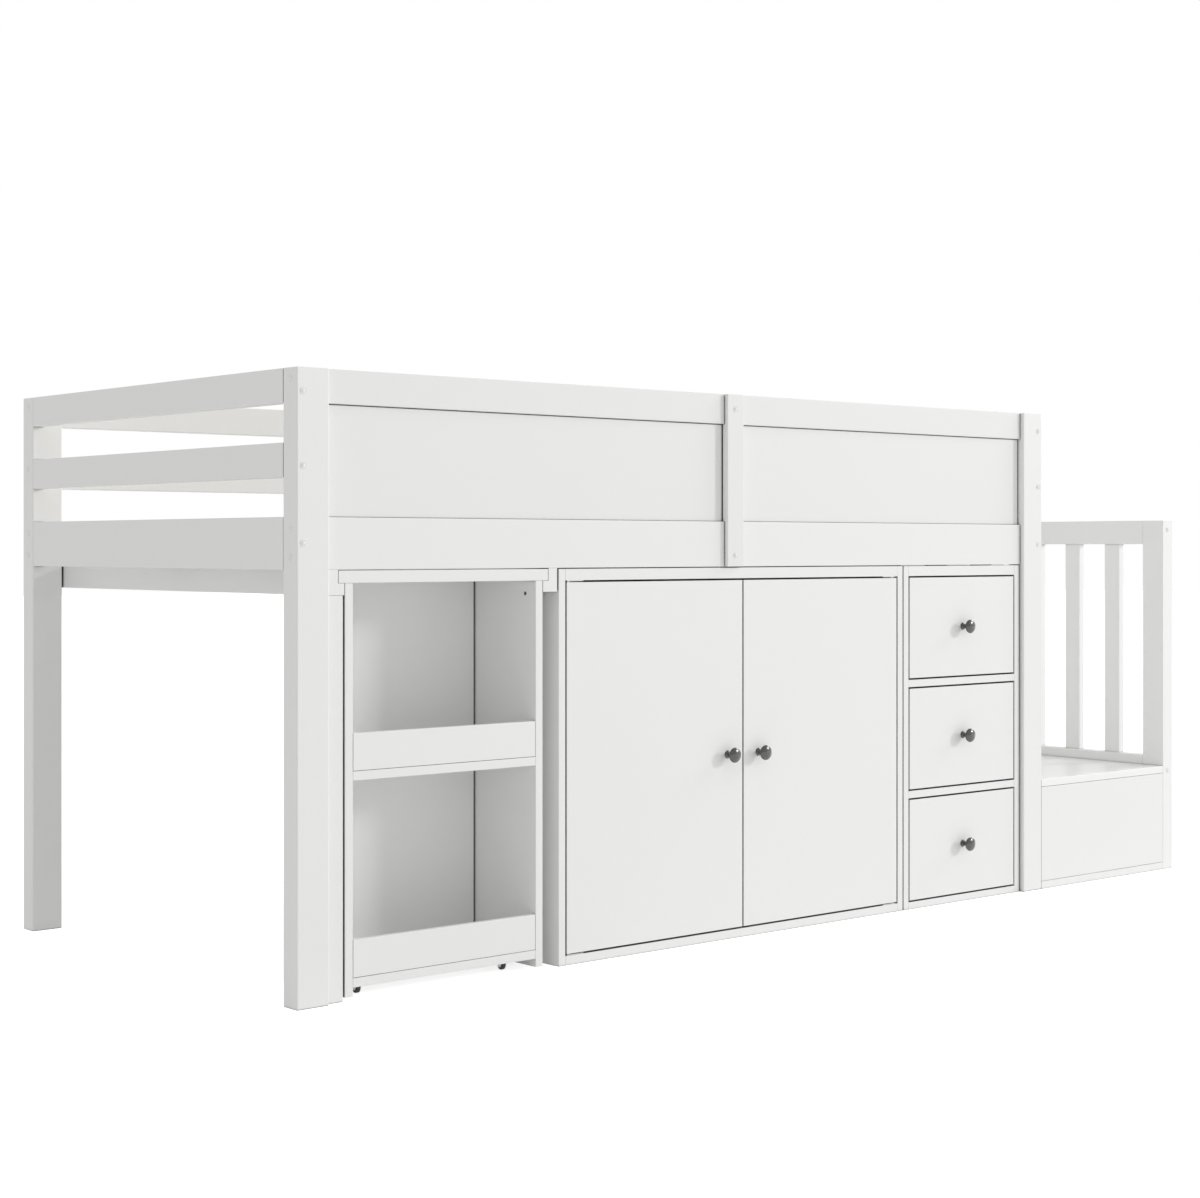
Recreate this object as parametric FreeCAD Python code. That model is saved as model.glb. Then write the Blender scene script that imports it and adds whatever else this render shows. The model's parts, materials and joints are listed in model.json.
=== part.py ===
import FreeCAD, Part

import math
import os

V = FreeCAD.Vector

# Low loft bed with a pull-out desk, a two-door cabinet, three drawers and steps.
# Working axes: X runs from the open end to the steps, Y from the front to the back, Z up from the floor.
# Working zero: the floor under the outer front corner of the left front post.
# The finished pieces are moved so that the origin is the middle of the whole footprint, on the floor.

# Bed frame over the corner posts
bed_length = 2008.0
bed_width = 1059.0
bed_height = 1100.0

# Corner posts
post_width = 65.0
post_depth = 45.0
post_edge_radius = 2.5

# Rails and guards
rail_thickness = 25.0
rail_ease = 1.2
guard_height = 256.5
side_rail_height = 91.0
guard_rail_height = 60.0
joint_line = 0.8

# Panelled front guard
panel_thickness = 12.0
panel_tongue = 7.0
groove_clearance = 0.3
stile_width = 45.0
stile_offset = 28.0

# Covers over the frame bolts
cap_diameter = 12.0
cap_height = 2.2
cap_sides = 16
cap_rings = 2
guard_bolt_stagger = 11.0
side_bolt_spread = 23.5

# Mattress support
cleat_width = 25.0
cleat_height = 30.0
cleat_lift = 8.0
beam_width = 45.0
beam_tenon = 12.0
tenon_clearance = 0.3
slat_count = 14
slat_width = 70.0
slat_thickness = 12.5
slat_end_gap = 0.6
slat_margin = 6.0

# Entry at the step end
entry_post_width = 45.0
entry_post_back = 545.0
entry_tenon_length = 30.0
entry_tenon_shoulder = 6.0

# Steps
step_rise = 254.0
step_width = 472.0
lower_step_run = 530.0
tread_thickness = 17.0
step_panel = 16.0
step_base_thickness = 18.0
step_line = 0.5

# Railing beside the steps
railing_thickness = 38.0
railing_height = 857.5
railing_post_depth = 60.0
railing_rail_height = 58.0
railing_low_rail_bottom = 219.0
railing_bolt_offset = 6.0
baluster_count = 7
baluster_width = 44.7
baluster_thickness = 20.0
baluster_tenon = 10.0

# Rebated rails that carry the desktop
desk_rail_width = 34.0
desk_rail_height = 45.0
desk_rebate_width = 13.0
desk_rebate_height = 24.0
desk_rail_inset = 3.5
desk_rail_clear_width = 440.8
desk_leg_width = 31.0
desk_leg_depth = 40.0

# Desktop and its shelf unit
desktop_thickness = 22.0
desktop_depth = 780.0
desktop_side_gap = 0.8
slide_clearance = 0.3
unit_side_gap = 1.0
unit_depth = 202.0
unit_board = 16.5
unit_side_lift = 6.5
unit_floor_lift = 22.2
unit_middle_lift = 383.4
unit_lip_height = 66.5
unit_lip_thickness = 12.0
unit_back_thickness = 12.0
unit_back_setback = 1.0
unit_back_side_gap = 3.5

# Castors under the shelf unit
castor_wheel_diameter = 18.0
castor_wheel_width = 8.0
castor_axle_diameter = 3.0
castor_running_clearance = 0.05
castor_cheek_thickness = 1.5
castor_cheek_gap = 0.7
castor_cheek_foot = 7.0
castor_plate_thickness = 1.5
castor_plate_length = 24.0
castor_axle_overhang = 0.8
castor_end_inset = 51.5
castor_side_inset = 57.4

# Cabinet and drawer unit
case_board = 16.0
case_top_thickness = 22.0
case_top_line = 2.0
case_depth = 480.0
case_ease = 0.5
case_back_thickness = 5.0
case_rebate = 8.0
cabinet_gap = 3.9
cabinet_base_thickness = 18.0
cabinet_shelf_height = 362.0
cabinet_shelf_setback = 34.0
drawer_case_gap = 3.3
drawer_case_width = 392.5
drawer_post_gap = 5.0
front_gap = 3.5
drawer_count = 3

# Doors and their pivots
door_thickness = 16.0
pivot_diameter = 8.0
pivot_reach = 14.0
pivot_clearance = 0.05
pivot_end_gap = 0.3
pivot_plate_thickness = 1.5
pivot_plate_width = 12.0
pivot_plate_length = 40.0
knob_edge_distance = 41.5

# Turned knobs
knob_reach = 28.0
knob_base_diameter = 16.0
knob_base_height = 2.2
knob_waist_diameter = 8.4
knob_waist_height = 9.0
knob_flare_diameter = 23.0
knob_flare_height = 17.0
knob_head_diameter = 29.4
knob_head_widest = 22.0
knob_sides = 24
knob_rings = 3

# Drawers
drawer_box_gap = 4.0
drawer_side_thickness = 12.0
drawer_side_lift = 24.0
drawer_headroom = 42.8
drawer_back_gap = 34.0
drawer_floor_thickness = 6.0
drawer_floor_lift = 10.0
drawer_floor_tongue = 6.0
runner_height = 12.0
runner_bite = 6.0
runner_front_gap = 39.0
runner_clearance = 0.3

# Packing strips that fill the line between the cases and the side rail
packing_length = 60.0
packing_end_inset = 90.0
packing_setback = 6.0

# Overrun of every cut past the face it opens on
overrun = 2.0

# Levels and planes worked out from the sizes above
face_y = (post_depth - rail_thickness) / 2
back_face_y = bed_width - face_y
inner_front_y = face_y + rail_thickness
inner_back_y = bed_width - inner_front_y
side_rail_top = bed_height - guard_height
side_rail_bottom = side_rail_top - side_rail_height
side_rail_middle = side_rail_bottom + side_rail_height / 2
top_rail_bottom = bed_height - guard_rail_height
top_rail_middle = bed_height - guard_rail_height / 2
middle_rail_middle = (top_rail_bottom + side_rail_top) / 2
middle_rail_bottom = middle_rail_middle - guard_rail_height / 2
right_post_x = bed_length - post_width
deck_support = side_rail_bottom + cleat_lift + cleat_height
stile_left = bed_length / 2 + stile_offset - stile_width / 2
stile_right = stile_left + stile_width
step_left = bed_length
step_right = bed_length + step_width
railing_right = step_right + railing_thickness
left_desk_rail_x = post_width + desk_rail_inset
unit_left = left_desk_rail_x + desk_rail_width + unit_side_gap
right_desk_rail_x = left_desk_rail_x + desk_rail_width + desk_rail_clear_width
unit_right = right_desk_rail_x - unit_side_gap
desk_rail_bottom = side_rail_bottom - desk_rail_height
desktop_bottom = side_rail_bottom - desk_rebate_height + slide_clearance
desktop_top = desktop_bottom + desktop_thickness
unit_back_y = face_y + unit_depth
drawer_case_right = right_post_x - drawer_post_gap
drawer_case_left = drawer_case_right - drawer_case_width
cabinet_left = right_desk_rail_x + desk_rail_width + cabinet_gap
cabinet_right = drawer_case_left - drawer_case_gap
cabinet_width = cabinet_right - cabinet_left
case_height = side_rail_bottom - case_top_line
case_back_y = face_y + case_depth
case_inner_back_y = case_back_y - case_back_thickness
case_top_underside = case_height - case_top_thickness
door_bottom = cabinet_base_thickness + front_gap
door_top = case_top_underside - front_gap
door_width = (cabinet_width - 2 * case_board - 3 * front_gap) / 2
door_middle = (door_bottom + door_top) / 2
drawer_bay = (case_top_underside - case_board - (drawer_count - 1) * case_board) / drawer_count
drawer_front_height = drawer_bay - 2 * front_gap
drawer_side_height = drawer_bay - drawer_side_lift - drawer_headroom
drawer_box_front_y = face_y + case_board
drawer_box_back_y = case_inner_back_y - drawer_back_gap
runner_front_y = drawer_box_front_y + runner_front_gap
drawer_box_left = drawer_case_left + case_board + drawer_box_gap
drawer_box_right = drawer_case_right - case_board - drawer_box_gap
castor_radius = castor_wheel_diameter / 2
castor_inner_cheek = castor_wheel_width / 2 + castor_cheek_gap
castor_outer_cheek = castor_inner_cheek + castor_cheek_thickness

# Middle of the whole footprint, from the covers on the left posts to the railing and from the knobs to
# the covers on the back posts
footprint_x = (-cap_height, railing_right)
footprint_y = (min(face_y - knob_reach, -cap_height), bed_width + cap_height)
origin = V(sum(footprint_x) / 2, sum(footprint_y) / 2, 0)


def block(x, y, z, ease=0.0):
    """A board between three pairs of planes, with every edge eased by a small chamfer."""
    solid = Part.makeBox(x[1] - x[0], y[1] - y[0], z[1] - z[0], V(x[0], y[0], z[0]))
    if ease:
        solid = solid.makeChamfer(ease, solid.Edges)
    return solid


def prism(outline, thickness):
    """A flat board cut to an outline of points and as thick as the vector given."""
    wire = Part.makePolygon(outline + outline[:1])
    return Part.Face(wire).extrude(thickness)


def placed(solid, place, direction):
    """A piece made upright at zero, moved to its place and turned to face a direction."""
    solid.Placement = FreeCAD.Placement(place, FreeCAD.Rotation(V(0, 0, 1), direction))
    return solid


def ring(radius, height, sides):
    """The corners of a regular polygon about the upright axis."""
    turn = 2 * math.pi / sides
    return [V(radius * math.cos(i * turn), radius * math.sin(i * turn), height) for i in range(sides)]


def faceted(profile, sides, place, direction):
    """A small turned piece worked in flats: a ring for each (radius, height) and a last point on the axis."""
    rings = [ring(radius, height, sides) for radius, height in profile[:-1]]
    crown = V(0, 0, profile[-1][1])
    outlines = [rings[0]]
    for low, high in zip(rings, rings[1:]):
        outlines += [[low[i - 1], low[i], high[i], high[i - 1]] for i in range(sides)]
    outlines += [[rings[-1][i - 1], rings[-1][i], crown] for i in range(sides)]
    faces = [Part.Face(Part.makePolygon(outline + outline[:1])) for outline in outlines]
    solid = Part.Solid(Part.Shell(faces))
    if solid.Volume < 0:
        solid.reverse()
    return placed(solid, place, direction)


def dome(radius, base, top, rings):
    """The (radius, height) steps up a cap of a sphere, above its rim and ending on the axis."""
    rise = top - base
    sphere = (radius ** 2 + rise ** 2) / (2 * rise)
    steps = [math.asin(radius / sphere) * (rings - i) / rings for i in range(1, rings + 1)]
    return [(sphere * math.sin(angle), top - sphere + sphere * math.cos(angle)) for angle in steps]


def across_bed(solid):
    """The same piece on the other side of the bed's long middle plane."""
    return solid.mirror(V(0, bed_width / 2, 0), V(0, 1, 0))


def along_bed(solid):
    """The same piece at the other end of the bed."""
    return solid.mirror(V(bed_length / 2, 0, 0), V(1, 0, 0))


def post(x, y, height):
    """An upright with rounded long edges."""
    solid = block(x, y, (0, height))
    upright = [e for e in solid.Edges if abs(e.Vertexes[0].Z - e.Vertexes[1].Z) > height / 2]
    return solid.makeFillet(post_edge_radius, upright)


def corner_posts():
    """Four posts, alike but for the corner they stand in."""
    front_left = post((0, post_width), (0, post_depth), bed_height)
    return {
        "post_front_left": front_left,
        "post_back_left": across_bed(front_left),
        "post_front_right": along_bed(front_left),
        "post_back_right": along_bed(across_bed(front_left)),
    }


def long_rail(bottom, height):
    """A rail from post to post along the front."""
    x = (post_width + joint_line, right_post_x - joint_line)
    return block(x, (face_y, inner_front_y), (bottom, bottom + height), rail_ease)


def end_rail(bottom, height):
    """A rail from post to post across the left end, flush with the outside of the posts."""
    y = (post_depth + joint_line, bed_width - post_depth - joint_line)
    return block((0, rail_thickness), y, (bottom, bottom + height), rail_ease)


def panel_groove_y():
    """Front and back of the grooves that hold the guard panels."""
    middle = face_y + rail_thickness / 2
    half = panel_thickness / 2 + groove_clearance
    return middle - half, middle + half


def front_guard():
    """Grooved rails, two panels between them and a stile lapped over the rails."""
    groove_depth = panel_tongue + groove_clearance
    groove_x = (post_width, right_post_x)
    low_groove_z = (side_rail_top - groove_depth, side_rail_top + overrun)
    high_groove_z = (top_rail_bottom - overrun, top_rail_bottom + groove_depth)
    low_groove = block(groove_x, panel_groove_y(), low_groove_z)
    high_groove = block(groove_x, panel_groove_y(), high_groove_z)
    side_rail = long_rail(side_rail_bottom, side_rail_height).cut(low_groove)
    top_rail = long_rail(top_rail_bottom, guard_rail_height).cut(high_groove)
    stile = block((stile_left, stile_right), (0, inner_front_y), (side_rail_bottom, bed_height), rail_ease)
    lap_x = (stile_left - overrun, stile_right + overrun)
    lap_y = (face_y, inner_front_y + overrun)
    lap_low = block(lap_x, lap_y, (side_rail_bottom - overrun, side_rail_top))
    lap_high = block(lap_x, lap_y, (top_rail_bottom, bed_height + overrun))
    groove_z = (side_rail_top - overrun, top_rail_bottom + overrun)
    left_groove = block((stile_left - overrun, stile_left + groove_depth), panel_groove_y(), groove_z)
    right_groove = block((stile_right - groove_depth, stile_right + overrun), panel_groove_y(), groove_z)
    stile = stile.cut([lap_low, lap_high, left_groove, right_groove])
    panel_y = (panel_groove_y()[0] + groove_clearance, panel_groove_y()[1] - groove_clearance)
    panel_z = (side_rail_top - panel_tongue, top_rail_bottom + panel_tongue)
    left = block((post_width + joint_line, stile_left + panel_tongue), panel_y, panel_z)
    right = block((stile_right - panel_tongue, right_post_x - joint_line), panel_y, panel_z)
    return {
        "front_side_rail": side_rail,
        "front_top_rail": top_rail,
        "front_stile": stile,
        "front_guard_panels": [left, right],
    }


def back_guard():
    """Side rail and two open guard rails along the back."""
    rails = [long_rail(low, guard_rail_height) for low in (middle_rail_bottom, top_rail_bottom)]
    return {
        "back_side_rail": across_bed(long_rail(side_rail_bottom, side_rail_height)),
        "back_guard_rails": [across_bed(rail) for rail in rails],
    }


def beam_y(clearance):
    """Front and back of the slat beam, or of the pocket that takes its tenon."""
    half = beam_width / 2 + clearance
    return bed_width / 2 - half, bed_width / 2 + half


def beam_pocket():
    """The pocket for the slat beam in the inside of the left end rail."""
    x = (rail_thickness - beam_tenon - tenon_clearance, rail_thickness + overrun)
    z = (deck_support - cleat_height - tenon_clearance, deck_support + tenon_clearance)
    return block(x, beam_y(tenon_clearance), z)


def left_end():
    """Side rail and two guard rails across the open end."""
    side = end_rail(side_rail_bottom, side_rail_height).cut(beam_pocket())
    guards = [end_rail(low, guard_rail_height) for low in (middle_rail_bottom, top_rail_bottom)]
    return {"left_end_side_rail": side, "left_end_guard_rails": guards}


def entry_tenon(clearance):
    """The tenon under the entry post, or the mortise for it in the end rail."""
    middle_x = bed_length - rail_thickness / 2
    half_x = rail_thickness / 2 - entry_tenon_shoulder + clearance
    y = (entry_post_back - entry_post_width + entry_tenon_shoulder - clearance,
         entry_post_back - entry_tenon_shoulder + clearance)
    z = (side_rail_top - entry_tenon_length - clearance, side_rail_top + overrun)
    return block((middle_x - half_x, middle_x + half_x), y, z)


def right_end():
    """Side rail across the step end, with a post and short rails that leave the way in open."""
    side = along_bed(end_rail(side_rail_bottom, side_rail_height).cut(beam_pocket()))
    side = side.cut(entry_tenon(tenon_clearance))
    x = (bed_length - rail_thickness, bed_length)
    entry_post = block(x, (entry_post_back - entry_post_width, entry_post_back), (side_rail_top, bed_height),
                       rail_ease)
    entry_post = entry_post.fuse(entry_tenon(0)).removeSplitter()
    short_y = (post_depth + joint_line, entry_post_back - entry_post_width - joint_line)
    guards = [block(x, short_y, (low, low + guard_rail_height), rail_ease)
              for low in (middle_rail_bottom, top_rail_bottom)]
    return {"right_end_side_rail": side, "entry_post": entry_post, "right_end_guard_rails": guards}


def mattress_support():
    """Cleats inside the side rails, a beam between the end rails and the slats on all three."""
    z = (deck_support - cleat_height, deck_support)
    front_cleat = block((post_width, right_post_x), (inner_front_y, inner_front_y + cleat_width), z)
    beam_x = (rail_thickness - beam_tenon, bed_length - rail_thickness + beam_tenon)
    beam = block(beam_x, beam_y(0), z)
    y = (inner_front_y + slat_end_gap, inner_back_y - slat_end_gap)
    first = post_width + slat_margin
    pitch = (bed_length - 2 * first - slat_width) / (slat_count - 1)
    slats = []
    for i in range(slat_count):
        left = first + i * pitch
        slats.append(block((left, left + slat_width), y, (deck_support, deck_support + slat_thickness)))
    return {"slat_supports": [front_cleat, across_bed(front_cleat), beam], "mattress_slats": slats}


def bolt_cap(place, direction):
    """A low domed cover seated on a flat face."""
    return faceted([(cap_diameter / 2, 0)] + dome(cap_diameter / 2, 0, cap_height, cap_rings), cap_sides,
                   place, direction)


def bolt_caps():
    """A cover over each bolt: the long rails' bolts sit above the end rails' bolts in a shared post."""
    left, right, front, back = V(-1, 0, 0), V(1, 0, 0), V(0, -1, 0), V(0, 1, 0)
    side_pair = [side_rail_middle - side_bolt_spread, side_rail_middle + side_bolt_spread]
    front_heights = side_pair + [top_rail_middle + guard_bolt_stagger]
    back_heights = front_heights + [middle_rail_middle + guard_bolt_stagger]
    end_heights = [side_rail_middle, middle_rail_middle - guard_bolt_stagger,
                   top_rail_middle - guard_bolt_stagger]
    railing_x = step_right + railing_thickness / 2
    railing_heights = [
        railing_height - railing_rail_height / 2 + railing_bolt_offset,
        railing_low_rail_bottom + railing_rail_height / 2 - railing_bolt_offset,
    ]
    spots = []
    for x, way in ((0, left), (bed_length, right)):
        spots += [(V(x, post_depth / 2, z), way) for z in front_heights]
        spots += [(V(x, bed_width - post_depth / 2, z), way) for z in back_heights]
    for x in (rail_thickness / 2, bed_length - rail_thickness / 2):
        spots += [(V(x, 0, z), front) for z in end_heights]
    spots += [(V(rail_thickness / 2, bed_width, z), back) for z in end_heights]
    spots += [(V(bed_length - rail_thickness / 2, bed_width, side_rail_middle), back)]
    spots += [(V(bed_length - rail_thickness / 2, entry_post_back, z), back)
              for z in (middle_rail_middle, top_rail_middle)]
    spots += [(V((stile_left + stile_right) / 2, 0, z), front)
              for z in (side_rail_middle - side_bolt_spread, top_rail_middle)]
    spots += [(V(railing_x, 0, z), front) for z in railing_heights]
    spots += [(V(railing_x, bed_width, z), back) for z in railing_heights]
    return {"bolt_caps": [bolt_cap(place, way) for place, way in spots]}


def desk_rails():
    """Two rebated rails under the side rails, their rebates facing each other, and the front leg."""
    left = left_desk_rail_x
    ledge = side_rail_bottom - desk_rebate_height
    inner = left + desk_rail_width
    wall = inner - desk_rebate_width
    outline = [
        V(left, face_y, desk_rail_bottom),
        V(inner, face_y, desk_rail_bottom),
        V(inner, face_y, ledge),
        V(wall, face_y, ledge),
        V(wall, face_y, side_rail_bottom),
        V(left, face_y, side_rail_bottom),
    ]
    left_rail = prism(outline, V(0, back_face_y - face_y, 0))
    right_rail = left_rail.mirror(V((unit_left + unit_right) / 2, 0, 0), V(1, 0, 0))
    leg_y = (face_y, face_y + desk_leg_depth)
    leg = block((left, left + desk_leg_width), leg_y, (0, desk_rail_bottom), rail_ease)
    return {"desk_rails": [left_rail, right_rail], "desk_rail_leg": leg}


def steps():
    """Two steps: treads and risers on a carcase whose sides are cut in one stepped piece."""
    x = (step_left, step_right)
    upper_front = lower_step_run
    lower_under = step_rise - tread_thickness
    upper_under = 2 * step_rise - tread_thickness
    lower_tread = block(x, (0, upper_front + step_panel), (lower_under, step_rise), case_ease)
    upper_tread = block(x, (upper_front, bed_width), (upper_under, 2 * step_rise), case_ease)
    lower_riser_z = (step_base_thickness + step_line, lower_under - step_line)
    lower_riser = block(x, (0, step_panel), lower_riser_z, case_ease)
    upper_riser = block(x, (upper_front, upper_front + step_panel), (step_rise, upper_under), case_ease)
    base = block(x, (0, bed_width), (0, step_base_thickness), case_ease)
    outline = [
        V(step_left, step_panel, step_base_thickness),
        V(step_left, bed_width, step_base_thickness),
        V(step_left, bed_width, upper_under),
        V(step_left, upper_front + step_panel, upper_under),
        V(step_left, upper_front + step_panel, lower_under),
        V(step_left, step_panel, lower_under),
    ]
    left_side = prism(outline, V(step_panel, 0, 0))
    right_side = left_side.mirror(V((step_left + step_right) / 2, 0, 0), V(1, 0, 0))
    back_x = (step_left + step_panel, step_right - step_panel)
    back = block(back_x, (bed_width - step_panel, bed_width), (step_base_thickness, upper_under))
    return {
        "step_treads": [lower_tread, upper_tread],
        "step_risers": [lower_riser, upper_riser],
        "step_carcase": [base, left_side, right_side, back],
    }


def railing():
    """Two posts, two mortised rails and the balusters tenoned into them."""
    x = (step_right, railing_right)
    near = post(x, (0, railing_post_depth), railing_height)
    rail_y = (railing_post_depth, bed_width - railing_post_depth)
    low_top = railing_low_rail_bottom + railing_rail_height
    high_bottom = railing_height - railing_rail_height
    low = block(x, rail_y, (railing_low_rail_bottom, low_top), rail_ease)
    high = block(x, rail_y, (high_bottom, railing_height), rail_ease)
    middle = (step_right + railing_right) / 2
    slim_x = (middle - baluster_thickness / 2, middle + baluster_thickness / 2)
    gap = (rail_y[1] - rail_y[0] - baluster_count * baluster_width) / (baluster_count + 1)
    balusters = []
    for i in range(baluster_count):
        front = rail_y[0] + gap + i * (gap + baluster_width)
        z = (low_top - baluster_tenon, high_bottom + baluster_tenon)
        balusters.append(block(slim_x, (front, front + baluster_width), z))
    low = low.cut(balusters)
    high = high.cut(balusters)
    return {
        "railing_posts": [near, across_bed(near)],
        "railing_rails": [low, high],
        "railing_balusters": balusters,
    }


def case_side(x, inner_face):
    """A case side with a rebate at the back, on its inner face, for the thin back board."""
    side = block(x, (face_y, case_back_y), (0, case_height), case_ease)
    rebate_x = (inner_face - case_rebate, inner_face + case_rebate)
    rebate = block(rebate_x, (case_inner_back_y, case_back_y + overrun), (-overrun, case_height + overrun))
    return side.cut(rebate)


def case_sides(left, right):
    """Both sides of a case."""
    return [case_side((left, left + case_board), left + case_board),
            case_side((right - case_board, right), right - case_board)]


def case_back(left, right):
    """The thin back board in the rebates of both sides."""
    x = (left + case_board - case_rebate, right - case_board + case_rebate)
    return block(x, (case_inner_back_y, case_back_y), (0, case_height))


def case_shelf(left, right, bottom, thickness, front=face_y, ease=case_ease):
    """A level board between the sides of a case."""
    x = (left + case_board, right - case_board)
    return block(x, (front, case_inner_back_y), (bottom, bottom + thickness), ease)


def packing_strips():
    """Strips between the tops of both cases and the underside of the side rail."""
    y = (face_y + packing_setback, inner_front_y - packing_setback)
    strips = []
    for left, right in ((cabinet_left, cabinet_right), (drawer_case_left, drawer_case_right)):
        for start in (left + packing_end_inset, right - packing_end_inset - packing_length):
            strips.append(block((start, start + packing_length), y, (case_height, side_rail_bottom)))
    return {"packing_strips": strips}


def pivot_places():
    """The two door axes, each in the middle of the door's thickness and as far in from its edge."""
    from_edge = case_board + front_gap + door_thickness / 2
    y = face_y + door_thickness / 2
    return (cabinet_left + from_edge, y), (cabinet_right - from_edge, y)


def pivot(x, y, inward, upward):
    """A pivot: a plate fixed to the board of the case, and a pin that stands in the edge of the door."""
    board = cabinet_base_thickness if upward else case_top_underside
    way = 1 if upward else -1
    half_width = pivot_plate_width / 2
    plate_x = sorted((x - inward * half_width, x + inward * (pivot_plate_length - half_width)))
    plate_z = sorted((board, board + way * pivot_plate_thickness))
    plate = block(plate_x, (y - half_width, y + half_width), plate_z)
    pin = Part.makeCylinder(pivot_diameter / 2, front_gap + pivot_reach, V(x, y, board), V(0, 0, way))
    return plate.fuse(pin)


def pivot_bores():
    """Blind bores for the pins in the top and bottom edges of the doors."""
    radius = pivot_diameter / 2 + pivot_clearance
    depth = pivot_reach + pivot_end_gap
    bottoms = (door_bottom - overrun, door_top - depth)
    return [Part.makeCylinder(radius, depth + overrun, V(x, y, bottom))
            for x, y in pivot_places() for bottom in bottoms]


def cabinet():
    """Case with a shelf, a rebated back and the pivots that the doors turn on."""
    top = case_shelf(cabinet_left, cabinet_right, case_top_underside, case_top_thickness)
    bottom = case_shelf(cabinet_left, cabinet_right, 0, cabinet_base_thickness)
    shelf = case_shelf(cabinet_left, cabinet_right, cabinet_shelf_height, case_board,
                       face_y + cabinet_shelf_setback)
    pivots = [pivot(x, y, inward, upward)
              for (x, y), inward in zip(pivot_places(), (1, -1)) for upward in (True, False)]
    return {
        "cabinet_sides": case_sides(cabinet_left, cabinet_right),
        "cabinet_top": top,
        "cabinet_bottom": bottom,
        "cabinet_shelf": shelf,
        "cabinet_back": case_back(cabinet_left, cabinet_right),
        "door_pivots": pivots,
    }


def knob(x, z):
    """A turned knob: a small foot, a waist that flares out, and a wide low-domed head."""
    profile = [
        (knob_base_diameter / 2, 0),
        (knob_base_diameter / 2, knob_base_height),
        (knob_waist_diameter / 2, knob_waist_height),
        (knob_flare_diameter / 2, knob_flare_height),
        (knob_head_diameter / 2, knob_head_widest),
    ]
    profile += dome(knob_head_diameter / 2, knob_head_widest, knob_reach, knob_rings)
    return faceted(profile, knob_sides, V(x, face_y, z), V(0, -1, 0))


def doors():
    """Two plain doors set flush in the case, bored for their pivots, with a knob by the meeting edges."""
    left_x = cabinet_left + case_board + front_gap
    right_x = cabinet_right - case_board - front_gap
    y = (face_y, face_y + door_thickness)
    z = (door_bottom, door_top)
    bores = pivot_bores()
    return {
        "left_door": block((left_x, left_x + door_width), y, z, case_ease).cut(bores),
        "right_door": block((right_x - door_width, right_x), y, z, case_ease).cut(bores),
        "left_door_knob": knob(left_x + door_width - knob_edge_distance, door_middle),
        "right_door_knob": knob(right_x - door_width + knob_edge_distance, door_middle),
    }


def drawer_bay_bottoms():
    """The lower edge of each bay, from the bottom drawer up."""
    return [case_board + i * (drawer_bay + case_board) for i in range(drawer_count)]


def runner_z(bay, clearance):
    """Bottom and top of a runner in a bay, or of the groove that rides on it."""
    side_bottom = bay + drawer_side_lift
    middle = side_bottom + drawer_side_height / 2
    half = runner_height / 2 + clearance
    return middle - half, middle + half


def drawer_case():
    """Case with dividers and hard runners that the grooved drawer sides hang on."""
    left, right = drawer_case_left, drawer_case_right
    boards = [case_shelf(left, right, bay - case_board, case_board) for bay in drawer_bay_bottoms()]
    boards.append(case_shelf(left, right, case_top_underside, case_top_thickness))
    reach = drawer_box_gap + runner_bite
    y = (runner_front_y, case_inner_back_y)
    runners = []
    for bay in drawer_bay_bottoms():
        z = runner_z(bay, 0)
        runners.append(block((left + case_board, left + case_board + reach), y, z))
        runners.append(block((right - case_board - reach, right - case_board), y, z))
    return {
        "drawer_case_sides": case_sides(left, right),
        "drawer_case_boards": boards,
        "drawer_case_back": case_back(left, right),
        "drawer_runners": runners,
    }


def drawer_box(bay):
    """Grooved sides, a back between them and a thin floor let into both sides."""
    y = (drawer_box_front_y, drawer_box_back_y)
    side_z = (bay + drawer_side_lift, bay + drawer_side_lift + drawer_side_height)
    floor_z = (side_z[0] + drawer_floor_lift, side_z[0] + drawer_floor_lift + drawer_floor_thickness)
    left, right = drawer_box_left, drawer_box_right
    inner_left, inner_right = left + drawer_side_thickness, right - drawer_side_thickness
    floor_x = (inner_left - drawer_floor_tongue, inner_right + drawer_floor_tongue)
    floor = block(floor_x, y, floor_z)
    groove_depth = runner_bite + runner_clearance
    groove_y = (runner_front_y - runner_clearance, y[1] + overrun)
    left_groove = block((left - overrun, left + groove_depth), groove_y, runner_z(bay, runner_clearance))
    right_groove = block((right - groove_depth, right + overrun), groove_y, runner_z(bay, runner_clearance))
    left_side = block((left, inner_left), y, side_z, case_ease).cut([left_groove, floor])
    right_side = block((inner_right, right), y, side_z, case_ease).cut([right_groove, floor])
    back = block((inner_left, inner_right), (y[1] - drawer_side_thickness, y[1]), (floor_z[1], side_z[1]))
    return [left_side, right_side, back, floor]


def drawers():
    """Three drawers alike, each with a front, a box and a knob in the middle of the front."""
    pieces = {}
    x = (drawer_case_left + case_board + front_gap, drawer_case_right - case_board - front_gap)
    for name, bay in zip(("bottom", "middle", "top"), drawer_bay_bottoms()):
        z = (bay + front_gap, bay + front_gap + drawer_front_height)
        pieces[name + "_drawer_front"] = block(x, (face_y, face_y + case_board), z, case_ease)
        pieces[name + "_drawer_box"] = drawer_box(bay)
        pieces[name + "_drawer_knob"] = knob(sum(x) / 2, sum(z) / 2)
    return pieces


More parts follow.
